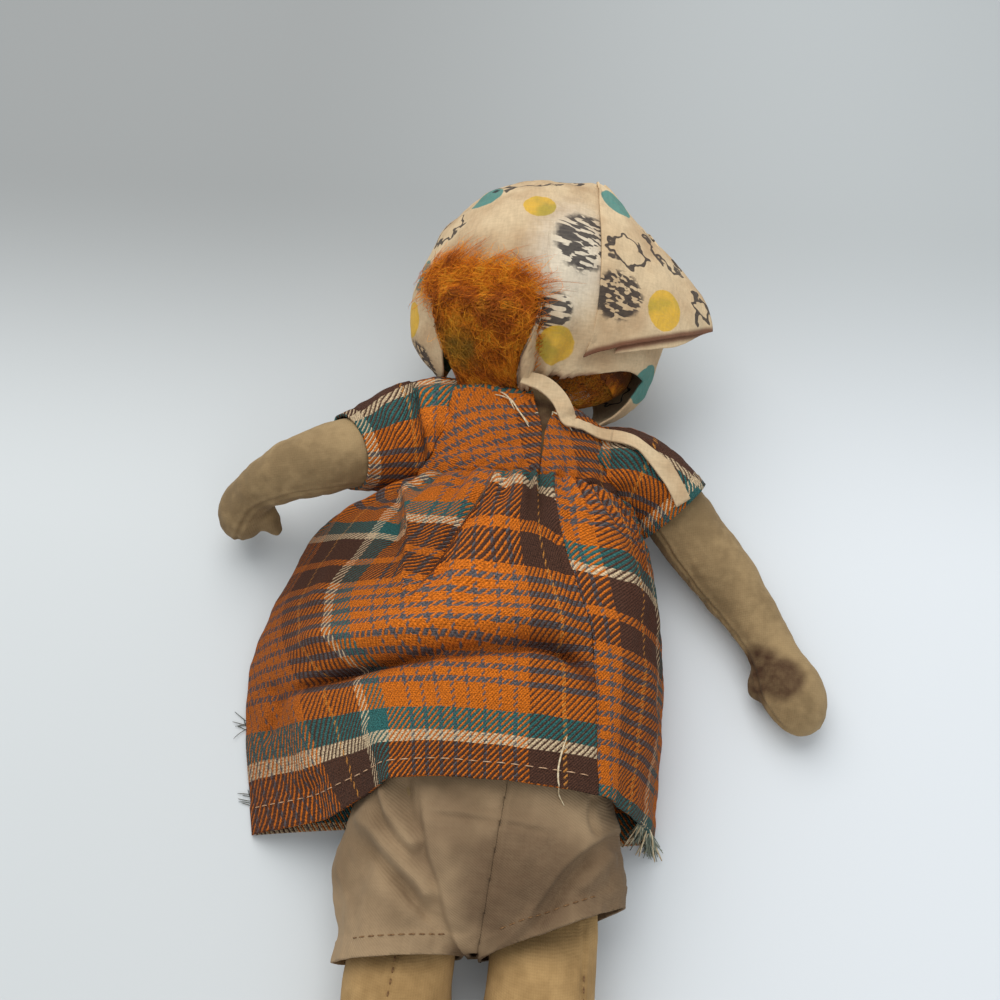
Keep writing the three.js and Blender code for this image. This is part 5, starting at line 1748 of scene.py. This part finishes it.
def walled(name, piece, wall):
    """Turns an open surface into cloth with a thickness, built inwards."""
    places, ways = places_of(piece), read(piece, "normal")
    count = len(places)
    inner = no_lower(places - ways * wall, wall)
    faces = [tuple(face.vertices) for face in piece.data.polygons]
    ends = {}
    for face in faces:
        for a, b in zip(face, face[1:] + face[:1]):
            ends[(a, b)] = ends.get((a, b), 0) + 1
    rim = [(a, b) for a, b in ends if (b, a) not in ends]
    every = faces + [tuple(v + count for v in face[::-1]) for face in faces]
    every += [(b, a, a + count, b + count) for a, b in rim]
    material = piece.data.materials[0]
    removed(piece)
    return new_mesh(name, np.vstack([places, inner]), every, material=material)


# %% Where the bloomers fold
BLOOMER_FOLDS = [
    ([(-27.7, -31), (-24.3, -42.6), (-19.5, -52.3)], 2.2, -2.0),
    ([(-34, -31), (-30.2, -42.3), (-22.6, -50.5), (-17.9, -55)], 2.4, 3.4),
    ([(-36, -36), (-31.5, -47), (-24, -55), (-17, -60)], 1.6, -1.6),
    ([(-44, -42), (-31.5, -51.2), (-22.8, -58.5), (-16.2, -64), (-12.8, -70)], 2.8, 4.2),
    ([(-42, -50), (-27.5, -60.8), (-19, -68.4), (-11.5, -75)], 1.8, -2.0),
    ([(-36, -62), (-26, -69), (-17, -76)], 4.0, 1.6),
    ([(17, -76), (24.5, -66), (30, -57.5), (39, -48)], 1.8, -2.0),
    ([(21, -79), (32, -72), (44, -67)], 4.0, 2.2),
    ([(30, -62), (38, -54), (43, -46)], 2.4, 1.8),
    ([(36, -46), (34, -38), (36, -30)], 1.4, -1.4),
    ([(-20, -42), (2, -43), (26, -44.5)], 0.9, 0.5),
    ([(-20, -44), (2, -45), (26, -46.5)], 0.8, -0.5),
    ([(-13, -48), (-8, -62), (-3, -76)], 4.0, 1.2),
    ([(14, -48), (12, -60), (7, -74)], 4.0, 1.0),
]
POUCH_LEFT = profile(
    [-84, 2], [-79, -5], [-75.8, -8], [-63.8, -12.7], [-54.8, -17.2], [-44.2, -20.3], [-33, -23.6],
)
POUCH_RIGHT = profile([-81, 4], [-79.5, 11], [-75, 16.8], [-65, 22], [-56, 27.6], [-48.5, 35], [-40, 46])


def pouch(x, y):
    """1 on the baggy panel between the legs, whose edges stand out as a step, and 0 beside it."""
    inside = smooth(x - POUCH_LEFT(y), 0, 2.4) * (1 - smooth(x - POUCH_RIGHT(y), -2.4, 0))
    return inside * smooth(-y, 33, 48)


def seam_x(y):
    """The middle seam wanders to the doll's right as it goes up."""
    return 2.2 + MIDDLE_SLOPE * (y + 80.7)

# %% The two halves
def bloomers():
    seat = skin("seat", closed(seat_form()), beige)
    cuffs = [skin(f"cuff{side}", closed(cuff_form(side)), beige) for side in (-1, 1)]
    whole = melted(together("bloomers", seat, *cuffs), 1.6, 12)
    places, ways = places_of(whole), read(whole, "normal")
    above = smooth(places[:, 2], 6, 16)
    change = ripples(places, 16, 71) * 0.45 + ripples(places, 6, 72) * 0.18
    for line, width, height in BLOOMER_FOLDS:
        change += crease(places, line, width, height, 0.2) * above
    change += 2.6 * pouch(places[:, 0], places[:, 1]) * above
    aside = places[:, 0] - seam_x(places[:, 1])
    change -= 0.5 * bump(aside, 0, 0.8) - 0.3 * bump(np.abs(aside), 1.6, 0.9)
    for side, (cuff, tilt) in CUFFS.items():
        hem = places[:, 1] - cuff - tilt * (places[:, 0] - SIDES[side] * LEG_X)
        change += 0.45 * (1 - smooth(hem, 6.0, 6.8)) * (SIDES[side] * places[:, 0] >= 0)
    moved(whole, on_floor(places + ways * change[:, None]))
    cut(whole, (0, WAIST_Y, 0), (0, 1, 0))
    halves = {}
    for side, (cuff, tilt) in CUFFS.items():
        name, sign = f"bloomers_{side}", SIDES[side]
        half = placed("half_of_bloomers", whole.data.copy())
        cut(half, (seam_x(0) + sign * 0.05, 0, 0), (-sign, MIDDLE_SLOPE * sign, 0))
        cut(half, (sign * LEG_X, cuff, 0), (tilt, -1, 0))
        halves[name] = walled(name, half, LINEN)
        soiled(
            halves[name], ((-8, -48, 36), 22, 0.55), ((-40, -56, 20), 20, 0.2), ((38, -60, 24), 28, 0.6),
            ((12, -58, 34), 30, 0.65), ((0, -80, 20), 20, 0.55), base=0.06,
        )
    removed(whole)
    return halves


beige = ribbed_cotton()
told(*bloomers())

# %% [markdown]
# Hair
#
# The mohair is glued to the head and pressed flat by the kerchief. Where the kerchief has slipped, at the
# back on the doll's left, it stands up in a soft tuft. A lumpy shell gives the mass of it, and some
# thousands of fine curling strands lie over that shell and give the fuzzy outline. Blender can grow hair
# as well, but thin tubes are plain meshes that any program can show.

# %% The mass of the hair
hood_edge = profile(
    [0, 131], [14, 137], [32, 156], [55, 165], [78, 168], [84, 166], [87.5, 134], [93, 127], [102, 121],
    [118, 119], [141, 108], [150, 109], [158, 122], [164, 134], [182, 139], [205, 130], [235, 90], [255, 60],
    [270, 56], [285, 72], [300, 108], [320, 142], [338, 152], [348, 146], [360, 131],
)
hair_edge = profile(
    [-35, 134], [20, 148], [60, 152], [90, 157], [140, 158], [170, 153], [190, 146], [203, 136], [215, 120],
)
HAIR_LOOSE, NAPE_HAIR = 6.5, 9


def freedom(turn, fall):
    """1 where the kerchief leaves the hair free, 0 where it is pressed down."""
    past = smooth(fall - hood_edge(np.mod(turn, 360)), 1, 12)
    return past * smooth(turn, 84, 92) * (1 - smooth(turn, 198, 212))


def pressed(fall):
    """The thickness of the hair under the kerchief, thin over the crown where the cloth is drawn tight."""
    return 0.7 + 0.9 * smooth(fall, 62, 98)


def hair_lift(turn, fall):
    return freedom(turn, fall) * (HAIR_LOOSE + 4.5 * bump(turn, 184, 26) * smooth(fall, 116, 140))


def nape_lift(turn, fall):
    return NAPE_HAIR * bump(turn, -16, 22) * smooth(fall, 112, 134)


def hair_height(turn, fall, share):
    tuft = hair_lift(turn, fall) * (0.84 + 0.16 * np.cos(np.radians(turn) * 9 + fall / 9))
    return pressed(fall) + nape_lift(turn, fall) + tuft * (1 - 0.4 * smooth(share, 0.9, 1))

# %% Making the mass of the hair
def hair_mass():
    turn, share = grid_of(np.linspace(-35, 215, 230), np.linspace(0, 1, 130))
    fall = between(16, hair_edge(turn), share)
    grid = head_at(turn, fall, 0.0)
    loose = freedom(turn, fall)
    locks = np.cos(np.radians(turn) * 60 + 3 * np.sin(fall / 11)) * 0.5 + ripples(grid, 5, 81) * 0.7
    grid = head_at(turn, fall, AIR + 0.6 + hair_height(turn, fall, share) + locks * (0.15 + 0.7 * loose))
    inner = head_at(turn, fall, AIR + 0.8)
    return grid, inner


def tint(dye, turn, fall, size):
    return dye, on_head(turn, fall, 6), (size, size, size)


# The two darkest tints, at the nape, are painted shade in the hollow under the kerchief.
TINTS = [
    tint(rgb(150, 66, 12), 112, 128, 14), tint(rgb(146, 132, 48), 150, 140, 11),
    tint(rgb(240, 168, 30), 134, 112, 9), tint(rgb(232, 130, 16), 99, 114, 11),
    tint(rgb(52, 26, 14), -14, 132, 20), tint(rgb(52, 26, 14), 16, 146, 16),
]
ginger = mohair("mohair", 0.9, TINTS)
outer, under = hair_mass()
outer = no_lower(outer, 0.5)
hair_pattern = stack(*grid_of(*(np.linspace(0, 1, count) for count in outer.shape[:2])))
cloth("hair", outer, hair_pattern, 1.0, ginger, inside=HEAD)
print("hair stands", round(float(np.linalg.norm(outer - under, axis=-1).max()), 1), "mm high at most")


# %% Curling strands
HEAD_RADIUS, STRAND_STEPS = 48, 9


def strands(name, count, seed, turns_range, falls_range, length, radius, material, lift=1.0):
    dice = np.random.default_rng(seed)
    turn = dice.uniform(*turns_range, count)
    fall = dice.uniform(*falls_range, count)
    way = dice.uniform(0, 2 * math.pi, count)
    long = length * dice.uniform(0.5, 1.3, count)
    curl = dice.uniform(0.8, 2.2, count)
    phase = dice.uniform(0, 2 * math.pi, count)
    high = dice.uniform(0.2, 1.0, count) ** 1.5 * lift
    lines = []
    for t in np.linspace(0, 1, STRAND_STEPS):
        bend = way + np.sin(phase + t * 2 * math.pi * curl) * 0.9
        here = turn + np.degrees(long * t * np.cos(bend) / HEAD_RADIUS)
        down = fall + np.degrees(long * t * (0.35 + 0.65 * np.sin(bend)) / HEAD_RADIUS)
        bow = 3.2 * high * np.sin(math.pi * min(t * 1.15, 1.0)) * (0.12 + 0.88 * freedom(here, down))
        stand = AIR + 0.4 + pressed(down) + hair_lift(here, down) + nape_lift(here, down) + bow
        lines.append(head_at(here, down, stand))
    thick = radius * dice.uniform(0.7, 1.3, count)
    return tubes(name, np.stack(lines, axis=1), thick, material, sides=3, taper=0.7)


# The nape strands take a darker copy of the mohair: painted shade under the kerchief's edge.
shaded_mohair = mohair("mohair_shadow", 0.42)
strands("hair_tuft", 5600, 82, (88, 196), (108, 154), 27, 0.1, ginger)
strands("hair_nape", 1300, 83, (-32, 84), (120, 158), 13, 0.12, shaded_mohair, lift=0.5)
told("hair_tuft", "hair_nape")

# %% [markdown]
# The kerchief
#
# The kerchief is one thin printed cloth, tied over the head. It has three parts here: the hood over the
# head, a loose corner folded back over its right side, and the narrow tie that runs to the shoulder.
# The print is a plain one of spots, leaf outlines and brushed patches. The hood's height over the head
# is a formula, so the wing can lie on it and the hairs can lie over its edge.

# %% How the hood stands off the head
HOOD_RADIUS, HOOD_DROP, WING_WIDE, WING_LONG = 45, 90, 45, 80


def turned_from(turn, place):
    """How many degrees round the head a turn is from a place."""
    return np.abs((turn - place + 540) % 360 - 180)


def puff(turn, fall):
    """Where the hood stands off the head: over the nape, at its corner and on the left."""

    def near(place, width):
        return bump(turned_from(turn, place), 0, width)

    nape = 8 * near(2, 30) * smooth(fall, 60, 104) + 11 * near(-24, 26) * smooth(fall, 106, 138)
    corner = 4 * near(58, 14) * bump(fall, 50, 15)
    left = 8 * near(186, 26) * smooth(fall, 74, 120)
    return (nape + corner + left) * smooth(fall, 0, 20)


def hood_in(fall):
    return 2 * AIR + pressed(fall) + 0.8 + 1.0 * smooth(fall, 62, 98)


def printed(kind, dye, turn, fall, grow, size, twist=0.0):
    """A motif of the print at a place on the head."""
    return kind, dye, on_head(turn, fall, grow), (*size, 0.8 * size[0] + 2), (0.0, 0.0, twist)

# %% The print of the hood
HOOD_MOTIFS = [
    ("bleached", rgb(226, 216, 196), 74, 112, 5, (20, 34)),
    ("spot", TEAL, 122, 68, 4, (7.5, 8)),
    ("spot", MUSTARD, 92, 84, 4, (6.5, 7)),
    ("leaf", INK, 96, 52, 3, (19, 8), 0.3),
    ("leaf", INK, 141, 82, 4, (8, 9), 0.9),
    ("brushed", INK, 70, 100, 5, (13, 15), -0.1),
    ("brushed", INK, 80, 134, 7, (9, 8), 0.5),
    ("spot", MUSTARD, 69, 148, 8, (8.5, 8)),
    ("spot", MUSTARD, 176, 112, 9, (7, 8)),
    ("brushed", INK, 186, 126, 12, (8, 12), 0.2),
    ("spot", TEAL, 160, 98, 7, (6, 7)),
    ("spot", TEAL, -3, 130, 19, (9, 9)),
    ("leaf", INK, 10, 60, 8, (10, 9), 0.2),
    ("spot", MUSTARD, -30, 90, 10, (8, 8)),
    ("leaf", INK, 205, 80, 8, (9, 10), 0.4),
    ("spot", TEAL, 150, 30, 4, (8, 8)),
    ("brushed", INK, 120, 28, 3, (9, 8), 0.5),
    ("spot", MUSTARD, 180, 60, 4, (7, 8)),
    ("brushed", INK, 195, 100, 6, (8, 9), 0.3),
    ("spot", TEAL, 215, 112, 6, (7, 8)),
    ("leaf", INK, 40, 30, 4, (10, 8), 0.8),
    ("spot", TEAL, -24, 62, 6, (8, 8)),
    ("brushed", INK, -8, 96, 14, (9, 10), 0.1),
    ("leaf", INK, -40, 120, 10, (9, 9), 0.5),
]
hood_print = printed_cotton("hood_print", [printed(*row) for row in HOOD_MOTIFS])

# %% Hood
def hood_stand(turn, fall):
    return hood_in(fall) + LINEN + puff(turn, fall)


def hood():
    turn, share = grid_of(np.arange(0, 360, 1.5), np.linspace(0, 1, 160))
    torn = 0.9 * np.sin(turn * 0.8) + 0.7 * np.sin(turn * 2.1 + 1) + 0.5 * np.sin(turn * 4.3)
    fall = share * (hood_edge(turn) + torn * smooth(turn, 20, 40) * (1 - smooth(turn, 140, 160)))
    turn = turn + 26 * smooth(fall, 134, 168) * bump(turn, 84, 24)
    over_hair = hair_lift(turn, fall) * 1.05 * smooth(fall, 128, 140)
    stand = hood_stand(turn, fall) + over_hair
    base = head_at(turn, fall, stand)
    folds = ripples(base, 20, 91) * 0.5 + ripples(base, 7, 92) * 0.18
    near = bump(turned_from(turn, 62), 0, 30)
    folds += (1.3 * np.cos(np.radians(turn) * 13 + fall / 16) + 0.5) * smooth(fall, 100, 140) * near
    hem = 0.35 * smooth(share, 0.955, 0.965)
    grid = head_at(turn, fall, stand + (folds * smooth(share, 0, 0.2) + hem))
    around = np.radians(np.arange(0, 361, 1.5)) * HOOD_RADIUS
    pattern = stack(*grid_of(around, np.linspace(0, 1, 160) * HOOD_DROP))
    piece = cloth("kerchief_hood", grid, pattern, LINEN, hood_print, wrap=True, floor=0.0, inside=HEAD)
    edge = grid[16:60, -1]
    away, _ = nearest(places_of(piece), edge)
    store(piece, "soil", 0.04 + 0.75 * (1 - smooth(away, 0.4, 1.6)))


hood()
told("kerchief_hood")

# %% The loose corner
WING_REACH = 15
WING_MOTIFS = [
    ("spot", TEAL, 52, 66, 8, (8, 8.5)),
    ("leaf", INK, 27, 82, 12, (11, 12), 0.5),
    ("spot", MUSTARD, 25, 112, 15, (8, 8.5)),
    ("brushed", INK, 48, 118, 9, (12, 10), 0.3),
    ("leaf", INK, 8, 100, 20, (8, 8), 0.2),
    ("leaf", INK, 50, 98, 8, (9, 7), 0.2),
    ("brushed", INK, 4, 118, 18, (8, 7), 0.2),
]
# The wing's print is lighter than the hood's: painted light against the shade that its turn gives it.
wing_print = printed_cotton("wing_print", [printed(*row) for row in WING_MOTIFS], 0.8)

# %% Folding the loose corner over
def wing():
    """The corner folds back over the hood; past share 1 the cloth turns under and runs back again."""
    share, down = grid_of(np.linspace(0, 1.5, 180), np.linspace(0.02, 1, 150))
    under = np.clip((share - 1) * 2, 0, 1)
    loose = smooth(down, 0.35, 0.75)
    over = np.where(share > 1, 1 - 0.65 * under * loose, share)
    crease_turn = profile([0, 60], [0.35, 64], [0.6, 61], [0.8, 54], [1, 43])
    crease_fall = profile([0, 50], [0.35, 84], [0.6, 108], [0.8, 127], [1, 147])
    edge_turn, edge_fall = profile([0, 57], [0.5, 20], [1, 3]), profile([0, 50], [0.5, 78], [1, 102])
    turn = between(crease_turn(down), edge_turn(down), over)
    fall = between(crease_fall(down), edge_fall(down), over) + 6 * smooth(under, 0, 0.4) * loose
    reach = profile([0, 0], [0.5, WING_REACH * 0.2], [1, WING_REACH])(down)
    stand = hood_stand(turn, fall) + LINEN + AIR + 0.5 + reach * over**1.6
    stand = stand - 2.7 * smooth(under, 0, 0.25) * loose
    base = head_at(turn, fall, stand)
    folds = (ripples(base, 16, 95) * 0.4 + ripples(base, 6, 96) * 0.15) * smooth(share, 0, 0.15) * (1 - under)
    grid = head_at(turn, fall, stand + folds)
    pattern = stack(share * WING_WIDE, down * WING_LONG)
    piece = cloth("kerchief_wing", grid, pattern, LINEN, wing_print, inside=HEAD)
    away, _ = nearest(places_of(piece), grid[:122, -1])
    store(piece, "soil", 0.03 + 1.0 * (1 - smooth(away, 1.0, 3.0)))


wing()
told("kerchief_wing")

# %% Fuzz over the edge of the kerchief
def fuzz(name, count, seed, material):
    """Short bright hairs that lie up over the torn edge, above the tuft."""
    dice = np.random.default_rng(seed)
    turn = 91 + 60 * dice.random(count) ** 0.85
    start = hood_edge(turn) + dice.uniform(-2, 5, count) + dice.exponential(5, count)
    reach, lean_by = dice.uniform(3, 13, count), dice.normal(0, 9, count)
    wave, phase = dice.uniform(2, 9, count), dice.uniform(0, 6.3, count)
    high = dice.uniform(0.3, 2.6, count)
    lines = []
    for t in np.linspace(0, 1, 8):
        here = turn + lean_by * t + wave * np.sin(phase + 4 * t)
        fall = start - reach * t
        surface = np.maximum(hood_stand(here, fall), AIR + pressed(fall) + hair_lift(here, fall))
        lines.append(head_at(here, fall, surface + 0.5 + high * math.sin(math.pi * t * 0.9)))
    thick = 0.08 * dice.uniform(0.7, 1.3, count)
    return tubes(name, np.stack(lines, axis=1), thick, material, sides=3, taper=0.8)


# The fuzz takes a lighter copy of the mohair: painted light on the hairs that lie on top.
fuzz("hair_fuzz", 2400, 84, mohair("mohair_light", 1.05))
told("hair_fuzz")

# %% The tie, laid over what is below it
TIE_WIDTH, TIE_BREAK, RAYS_FROM = 5.4, 36, 400
FAR_BELOW = np.array([30, 100, -200.0])
TIE_LINE = [
    (-1, 122.5, 57.5), (7, 120.5, 57), (13.5, 116, 55), (17.5, 109.5, 53), (28, 106.5, 0),
    (43, 104, 0), (51.5, 98, 0), (58.5, 91, 0), (64.8, 81, 0),
]


def surface_below(names):
    """A function that gives the height of the highest of these pieces under a place."""
    graph = bpy.context.evaluated_depsgraph_get()
    trees = [BVHTree.FromObject(made[name], graph) for name in names]

    def height(x, y):
        start = Vector((x * MM, y * MM, RAYS_FROM * MM))
        hits = [tree.ray_cast(start, Vector((0, 0, -1)))[0] for tree in trees]
        return max([hit.z / MM for hit in hits if hit is not None], default=0.0)

    return height

# %% The tie in two lengths
def tie():
    path = Path(TIE_LINE, 30)
    below = surface_below(["bodice_back_left", "bodice_back_right", "sleeve_right"])
    share, along = grid_of(np.linspace(-0.5, 0.5, 15), np.linspace(0, 1, 130))
    at, ahead = path.at(along), path.ahead(along)
    ahead = unit(ahead * np.array([1, 1, 0]))
    width = TIE_WIDTH * (1 + 0.26 * np.sin(9 * along) + 0.08 * np.sin(31 * along))
    x = at[..., 0] - ahead[..., 1] * share * width
    y = at[..., 1] + ahead[..., 0] * share * width
    rest = np.array([[below(a, b) for a, b in zip(*row)] for row in zip(x, y)])
    for _ in range(6):
        rest[:, 1:-1] = np.maximum(rest[:, 1:-1], (rest[:, :-2] + rest[:, 2:]) / 2)
    curl = 0.5 * np.sin(14 * along) * share * 2 + 0.35 * (2 * share) ** 2
    z = np.maximum(rest + AIR + 0.35, at[..., 2]) + LINEN + curl + 0.25
    grid, pattern = stack(x, y, z), stack(share * TIE_WIDTH, along * path.length)
    tie_print = printed_cotton("tie_cotton", [])
    half = int(np.argmin(np.abs(x[7] - TIE_BREAK)))
    for name, part in (("kerchief_tie", np.s_[:, : half + 1]), ("kerchief_tie_end", np.s_[:, half:])):
        soiled(cloth(name, grid[part], pattern[part], LINEN, tie_print, inside=FAR_BELOW))


tie()
told("kerchief_tie", "kerchief_tie_end")

# %% [markdown]
# Stitches, loose threads and a fringe
#
# Much of the age of the doll shows in its threads: a running stitch along the hem, a thread that has
# come loose from it, ends at the neck slit and a frayed corner. Each is a thin tube. A running stitch is
# cut from a line on the cloth, and both ends of each stitch dip into the cloth. A bump in the finish
# could hint at stitches, but it has no shadow and no outline.

# %% Lines on the cloth
STITCHED_IN = 5.6


def line_over(places, names, lift=0.2, count=60):
    """A line seen from above, raised onto the cloth that lies below it."""
    below = surface_below(names)
    line = Path(places, 12).at(np.linspace(0, 1, count))
    return np.array([(x, y, below(x, y) + lift) for x, y in line])

# %% Running stitches along hem, cuffs and legs
def running_stitch(name, line, finish, long=2.8, gap=1.6, radius=0.3):
    way = Path(line, 3)
    starts = (np.arange(int(way.length // (long + gap))) + 0.3) * (long + gap)
    steps = np.linspace(0, 1, 7)
    points = way.at((starts[:, None] + steps[None] * long) / way.length)
    points = points - stack(0, 0, 0.4 * (2 * np.abs(steps - 0.5)) ** 4)[None]
    return tubes(name, points, radius, finish, sides=6, taper=0.3)


cream_thread = thread("cream_thread", rgb(226, 208, 174), rgb(180, 154, 116))
peach_thread = thread("peach_thread", rgb(206, 168, 132), rgb(156, 118, 88))
brown_thread = thread("brown_thread", rgb(140, 106, 70), rgb(92, 62, 40))
grey_thread = thread("grey_thread", rgb(156, 158, 138), rgb(92, 104, 94))
hem_line = skirt_at(np.linspace(3.1, 6.85, 260), np.array([1 - STITCHED_IN / SKIRT_LENGTH]), 0.75)[:, 0]
running_stitch("hem_stitches", hem_line, peach_thread, 2.8, 1.7, 0.19)
for side, (cuff, tilt) in CUFFS.items():
    places = [(SIDES[side] * LEG_X + aside, cuff + STITCHED_IN + tilt * aside) for aside in (-15, 0, 16)]
    cuff_line = line_over(places, [f"bloomers_{side}"])
    running_stitch(f"cuff_stitches_{side}", cuff_line, brown_thread, 2.2, 1.0, 0.2)
for side, limb in legs.items():
    seam = limb.at(SEAM_TURN[side], np.linspace(0.1, 0.78, 60), 0.35)
    running_stitch(f"leg_stitches_{side}", seam, brown_thread, 1.5, 1.8, 0.26)
told(*(name for name in made if "stitches" in name))

# %% Loose threads
UNDER_HEM, UNDER_NECK = ["skirt_back", "bloomers_right"], ["bodice_back_left", "bodice_back_right"]
LOOSE = [
    ([(24.8, -17.7), (23.4, -23), (22.6, -29), (23.4, -34), (25.5, -37.5)], 1.2, UNDER_HEM),
    ([(-11.5, 118), (-8, 116.5), (-4.7, 113.8), (-1, 108), (3.3, 102)], 1.6, UNDER_NECK[:1]),
    ([(-7, 117.5), (-4, 114), (-1.5, 109), (3, 103.5)], 0.9, UNDER_NECK[:1]),
    ([(-9.5, 119.5), (-6, 115), (-3, 110)], 2.2, UNDER_NECK[:1]),
    ([(5, 109), (10, 110.5), (16, 108), (20, 104)], 1.5, UNDER_NECK),
]
for i, (places, bow, names) in enumerate(LOOSE):
    line = line_over(places, names, 0.3, 30)
    line[:, 2] = np.maximum(line[:, 2], line[:, 2].mean() - 6) + bow * np.sin(np.linspace(0, math.pi, 30))
    tubes(f"loose_thread_{i}", line[None], 0.3, cream_thread, sides=6, taper=0.5)

# %% Frayed ends
def frayed(name, roots, way, length, seed, finish, radius=0.17):
    """Short thread ends that leave the edge of the cloth."""
    dice = np.random.default_rng(seed)
    long = length * dice.uniform(0.4, 1.2, len(roots))
    turn, wave = dice.normal(0, 0.5, len(roots)), dice.uniform(-1, 1, (len(roots), 3)).T
    lines = []
    for t in np.linspace(0, 1, 7):
        away = long * t
        x = away * (way[0] * np.cos(turn) - way[1] * np.sin(turn)) + wave[0] * t * t * 1.6
        y = away * (way[0] * np.sin(turn) + way[1] * np.cos(turn)) + wave[1] * t * t * 1.6
        lines.append(no_lower(roots + stack(x, y, wave[2] * t - 0.6 * t * roots[:, 2]), 0.35))
    return tubes(name, np.stack(lines, axis=1), radius, finish, sides=4, taper=0.4)


hem_edge = side_grid[:, -1]
corner = hem_edge[(hem_edge[:, 0] > 40) & (hem_edge[:, 2] < 30)]
picks = np.random.default_rng(7).integers(0, len(corner), 90)
frayed("frayed_corner", corner[picks] + (0, 0.8, 0), (0.1, -1), 4.8, 7, grey_thread, 0.2)
picks = np.random.default_rng(9).integers(0, len(corner), 14)
frayed("frayed_pale", corner[picks] + (0, 0.8, 0.3), (-0.3, -1), 5.5, 9, cream_thread, 0.3)
left_edge = back_grid[-1, :]
tufts = [left_edge[np.abs(left_edge[:, 1] - y) < 2.2] for y in (-9, -36)]
roots = np.vstack([tuft[:: max(1, len(tuft) // 4)] for tuft in tufts if len(tuft)])
frayed("frayed_side", roots, (-1, 0.2), 6, 8, thread("dark_thread", rgb(88, 78, 58), rgb(46, 62, 56)), 0.14)
print("frayed ends:", len(corner), "places at the corner")

# %% [markdown]
# What each piece rides on
#
# The last step ties the soft pieces to the doll's bodies, so that they move with its joints. Cloth that
# crosses a joint follows one body at one end and the other body at the other. Each piece says which
# finish it takes; a piece that takes the place of a plain solid says which, each stuffed piece says how
# full it is, and the main sheets of cloth say how they were cut.

# %% Rides, blends and replaced solids
def metres(*place):
    return tuple(float(x) * MM for x in place)


def beside(joint, x=0, y=0):
    """A place a few millimetres from a joint, in metres."""
    return metres(joint[0] + x, joint[1] + y, joint[2])


for body in ("torso", "head", *(f"{limb}_{side}" for limb in ("arm", "leg") for side in SIDES)):
    cover = "leg_cotton" if body.startswith("leg") else "body_cotton"
    for part, slot, fill in (("skin", cover, 0.8), ("stuffing", "stuffing", 0.9)):
        piece = made[f"{body}_{part}"]
        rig.ride(piece, body)
        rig.replaces(piece, f"{body}_{part}")
        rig.slot(piece, slot)
        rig.padded(piece, fill=fill)

RIDERS = [
    ("torso", "plaid_twill", ("bodice_", "skirt_", "hem_stitches", "loose_thread", "frayed")),
    ("torso", "elastic", ("waist_elastic",)),
    ("head", "mohair", ("hair",)),
    ("head", "printed_cotton", ("kerchief_hood", "kerchief_wing")),
    *((f"leg_{side}", "leg_cotton", (f"leg_stitches_{side}",)) for side in SIDES),
    *((f"leg_{side}", "beige_twill", (f"cuff_stitches_{side}",)) for side in SIDES),
]
for body, slot, starts in RIDERS:
    for name in [name for name in made if name.startswith(starts)]:
        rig.ride(made[name], body)
        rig.slot(made[name], slot)

for side, sign in SIDES.items():
    shoulder, hip = SHOULDERS[side], (sign * LEG_X, HIP_Y, HIP_Z)
    inner, outer_end = beside(shoulder, -sign * 3), beside(shoulder, sign * 9)
    near, far = beside(shoulder, -sign * 1.2), beside(shoulder, sign * 1.4)
    for name, limb, slot, start, end in (
        ("sleeve", "arm", "plaid_twill", inner, outer_end),
        ("shoulder_seam", "arm", "body_cotton", near, far),
        ("hip_seam", "leg", "body_cotton", beside(hip, y=2.5), beside(hip, y=-2.5)),
        ("bloomers", "leg", "beige_twill", beside(hip, y=12), beside(hip, y=-13)),
    ):
        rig.blend(made[f"{name}_{side}"], "torso", f"{limb}_{side}", start, end)
        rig.slot(made[f"{name}_{side}"], slot)
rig.blend(made["kerchief_tie"], "head", "torso", metres(3, 119, 57), metres(16, 109, 55))
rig.blend(made["kerchief_tie_end"], "torso", "arm_right", inner, outer_end)
for name in ("kerchief_tie", "kerchief_tie_end"):
    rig.slot(made[name], "printed_cotton")

stand_ins = [name for name in made if name in frame["nodes"]]
for name in stand_ins:
    if not name.endswith(("_skin", "_stuffing")):
        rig.replaces(made[name], name)
print(len(stand_ins), "plain solids have a finer piece in their place")

# %% How the cloth was cut
CUTS = [
    ("skirt_back", back_run[-1], SKIRT_LENGTH + 6, "gathered", "bodice_back_left"),
    ("skirt_side", side_run[-1], SKIRT_LENGTH + 8, "gathered", "bodice_back_right"),
    ("skirt_front", 150, SKIRT_LENGTH + 8, "gathered", "bodice_front"),
    ("bodice_front", 98, 39, "stretched", "torso_skin"),
    ("bodice_back_left", 55, 39, "stretched", "torso_skin"),
    ("bodice_back_right", 35, 38, "stretched", "torso_skin"),
    ("sleeve_left", 112, 49, "gathered", "arm_left_skin"),
    ("sleeve_right", 106, 37, "gathered", "arm_right_skin"),
    ("bloomers_left", 136, 112, "gathered", "torso_skin"),
    ("bloomers_right", 104, 96, "gathered", "torso_skin"),
    ("kerchief_hood", 220, 110, "draped", "head_skin"),
    ("kerchief_wing", 72, 70, "folded", "kerchief_hood"),
]
for name, wide, long, held, below in CUTS:
    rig.sheet(made[name], flat=metres(wide, long), held=held, rests_on=[below])
print(len(CUTS), "sheets of cloth")

# %% The size of the frame and of what we made
sizes = {"cad": cad_box, "visual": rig.bounds()}
plain = {name: np.array(box, float).tolist() for name, box in sizes.items()}
with open("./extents.json", "w") as book:
    json.dump(plain, book)
print(plain)
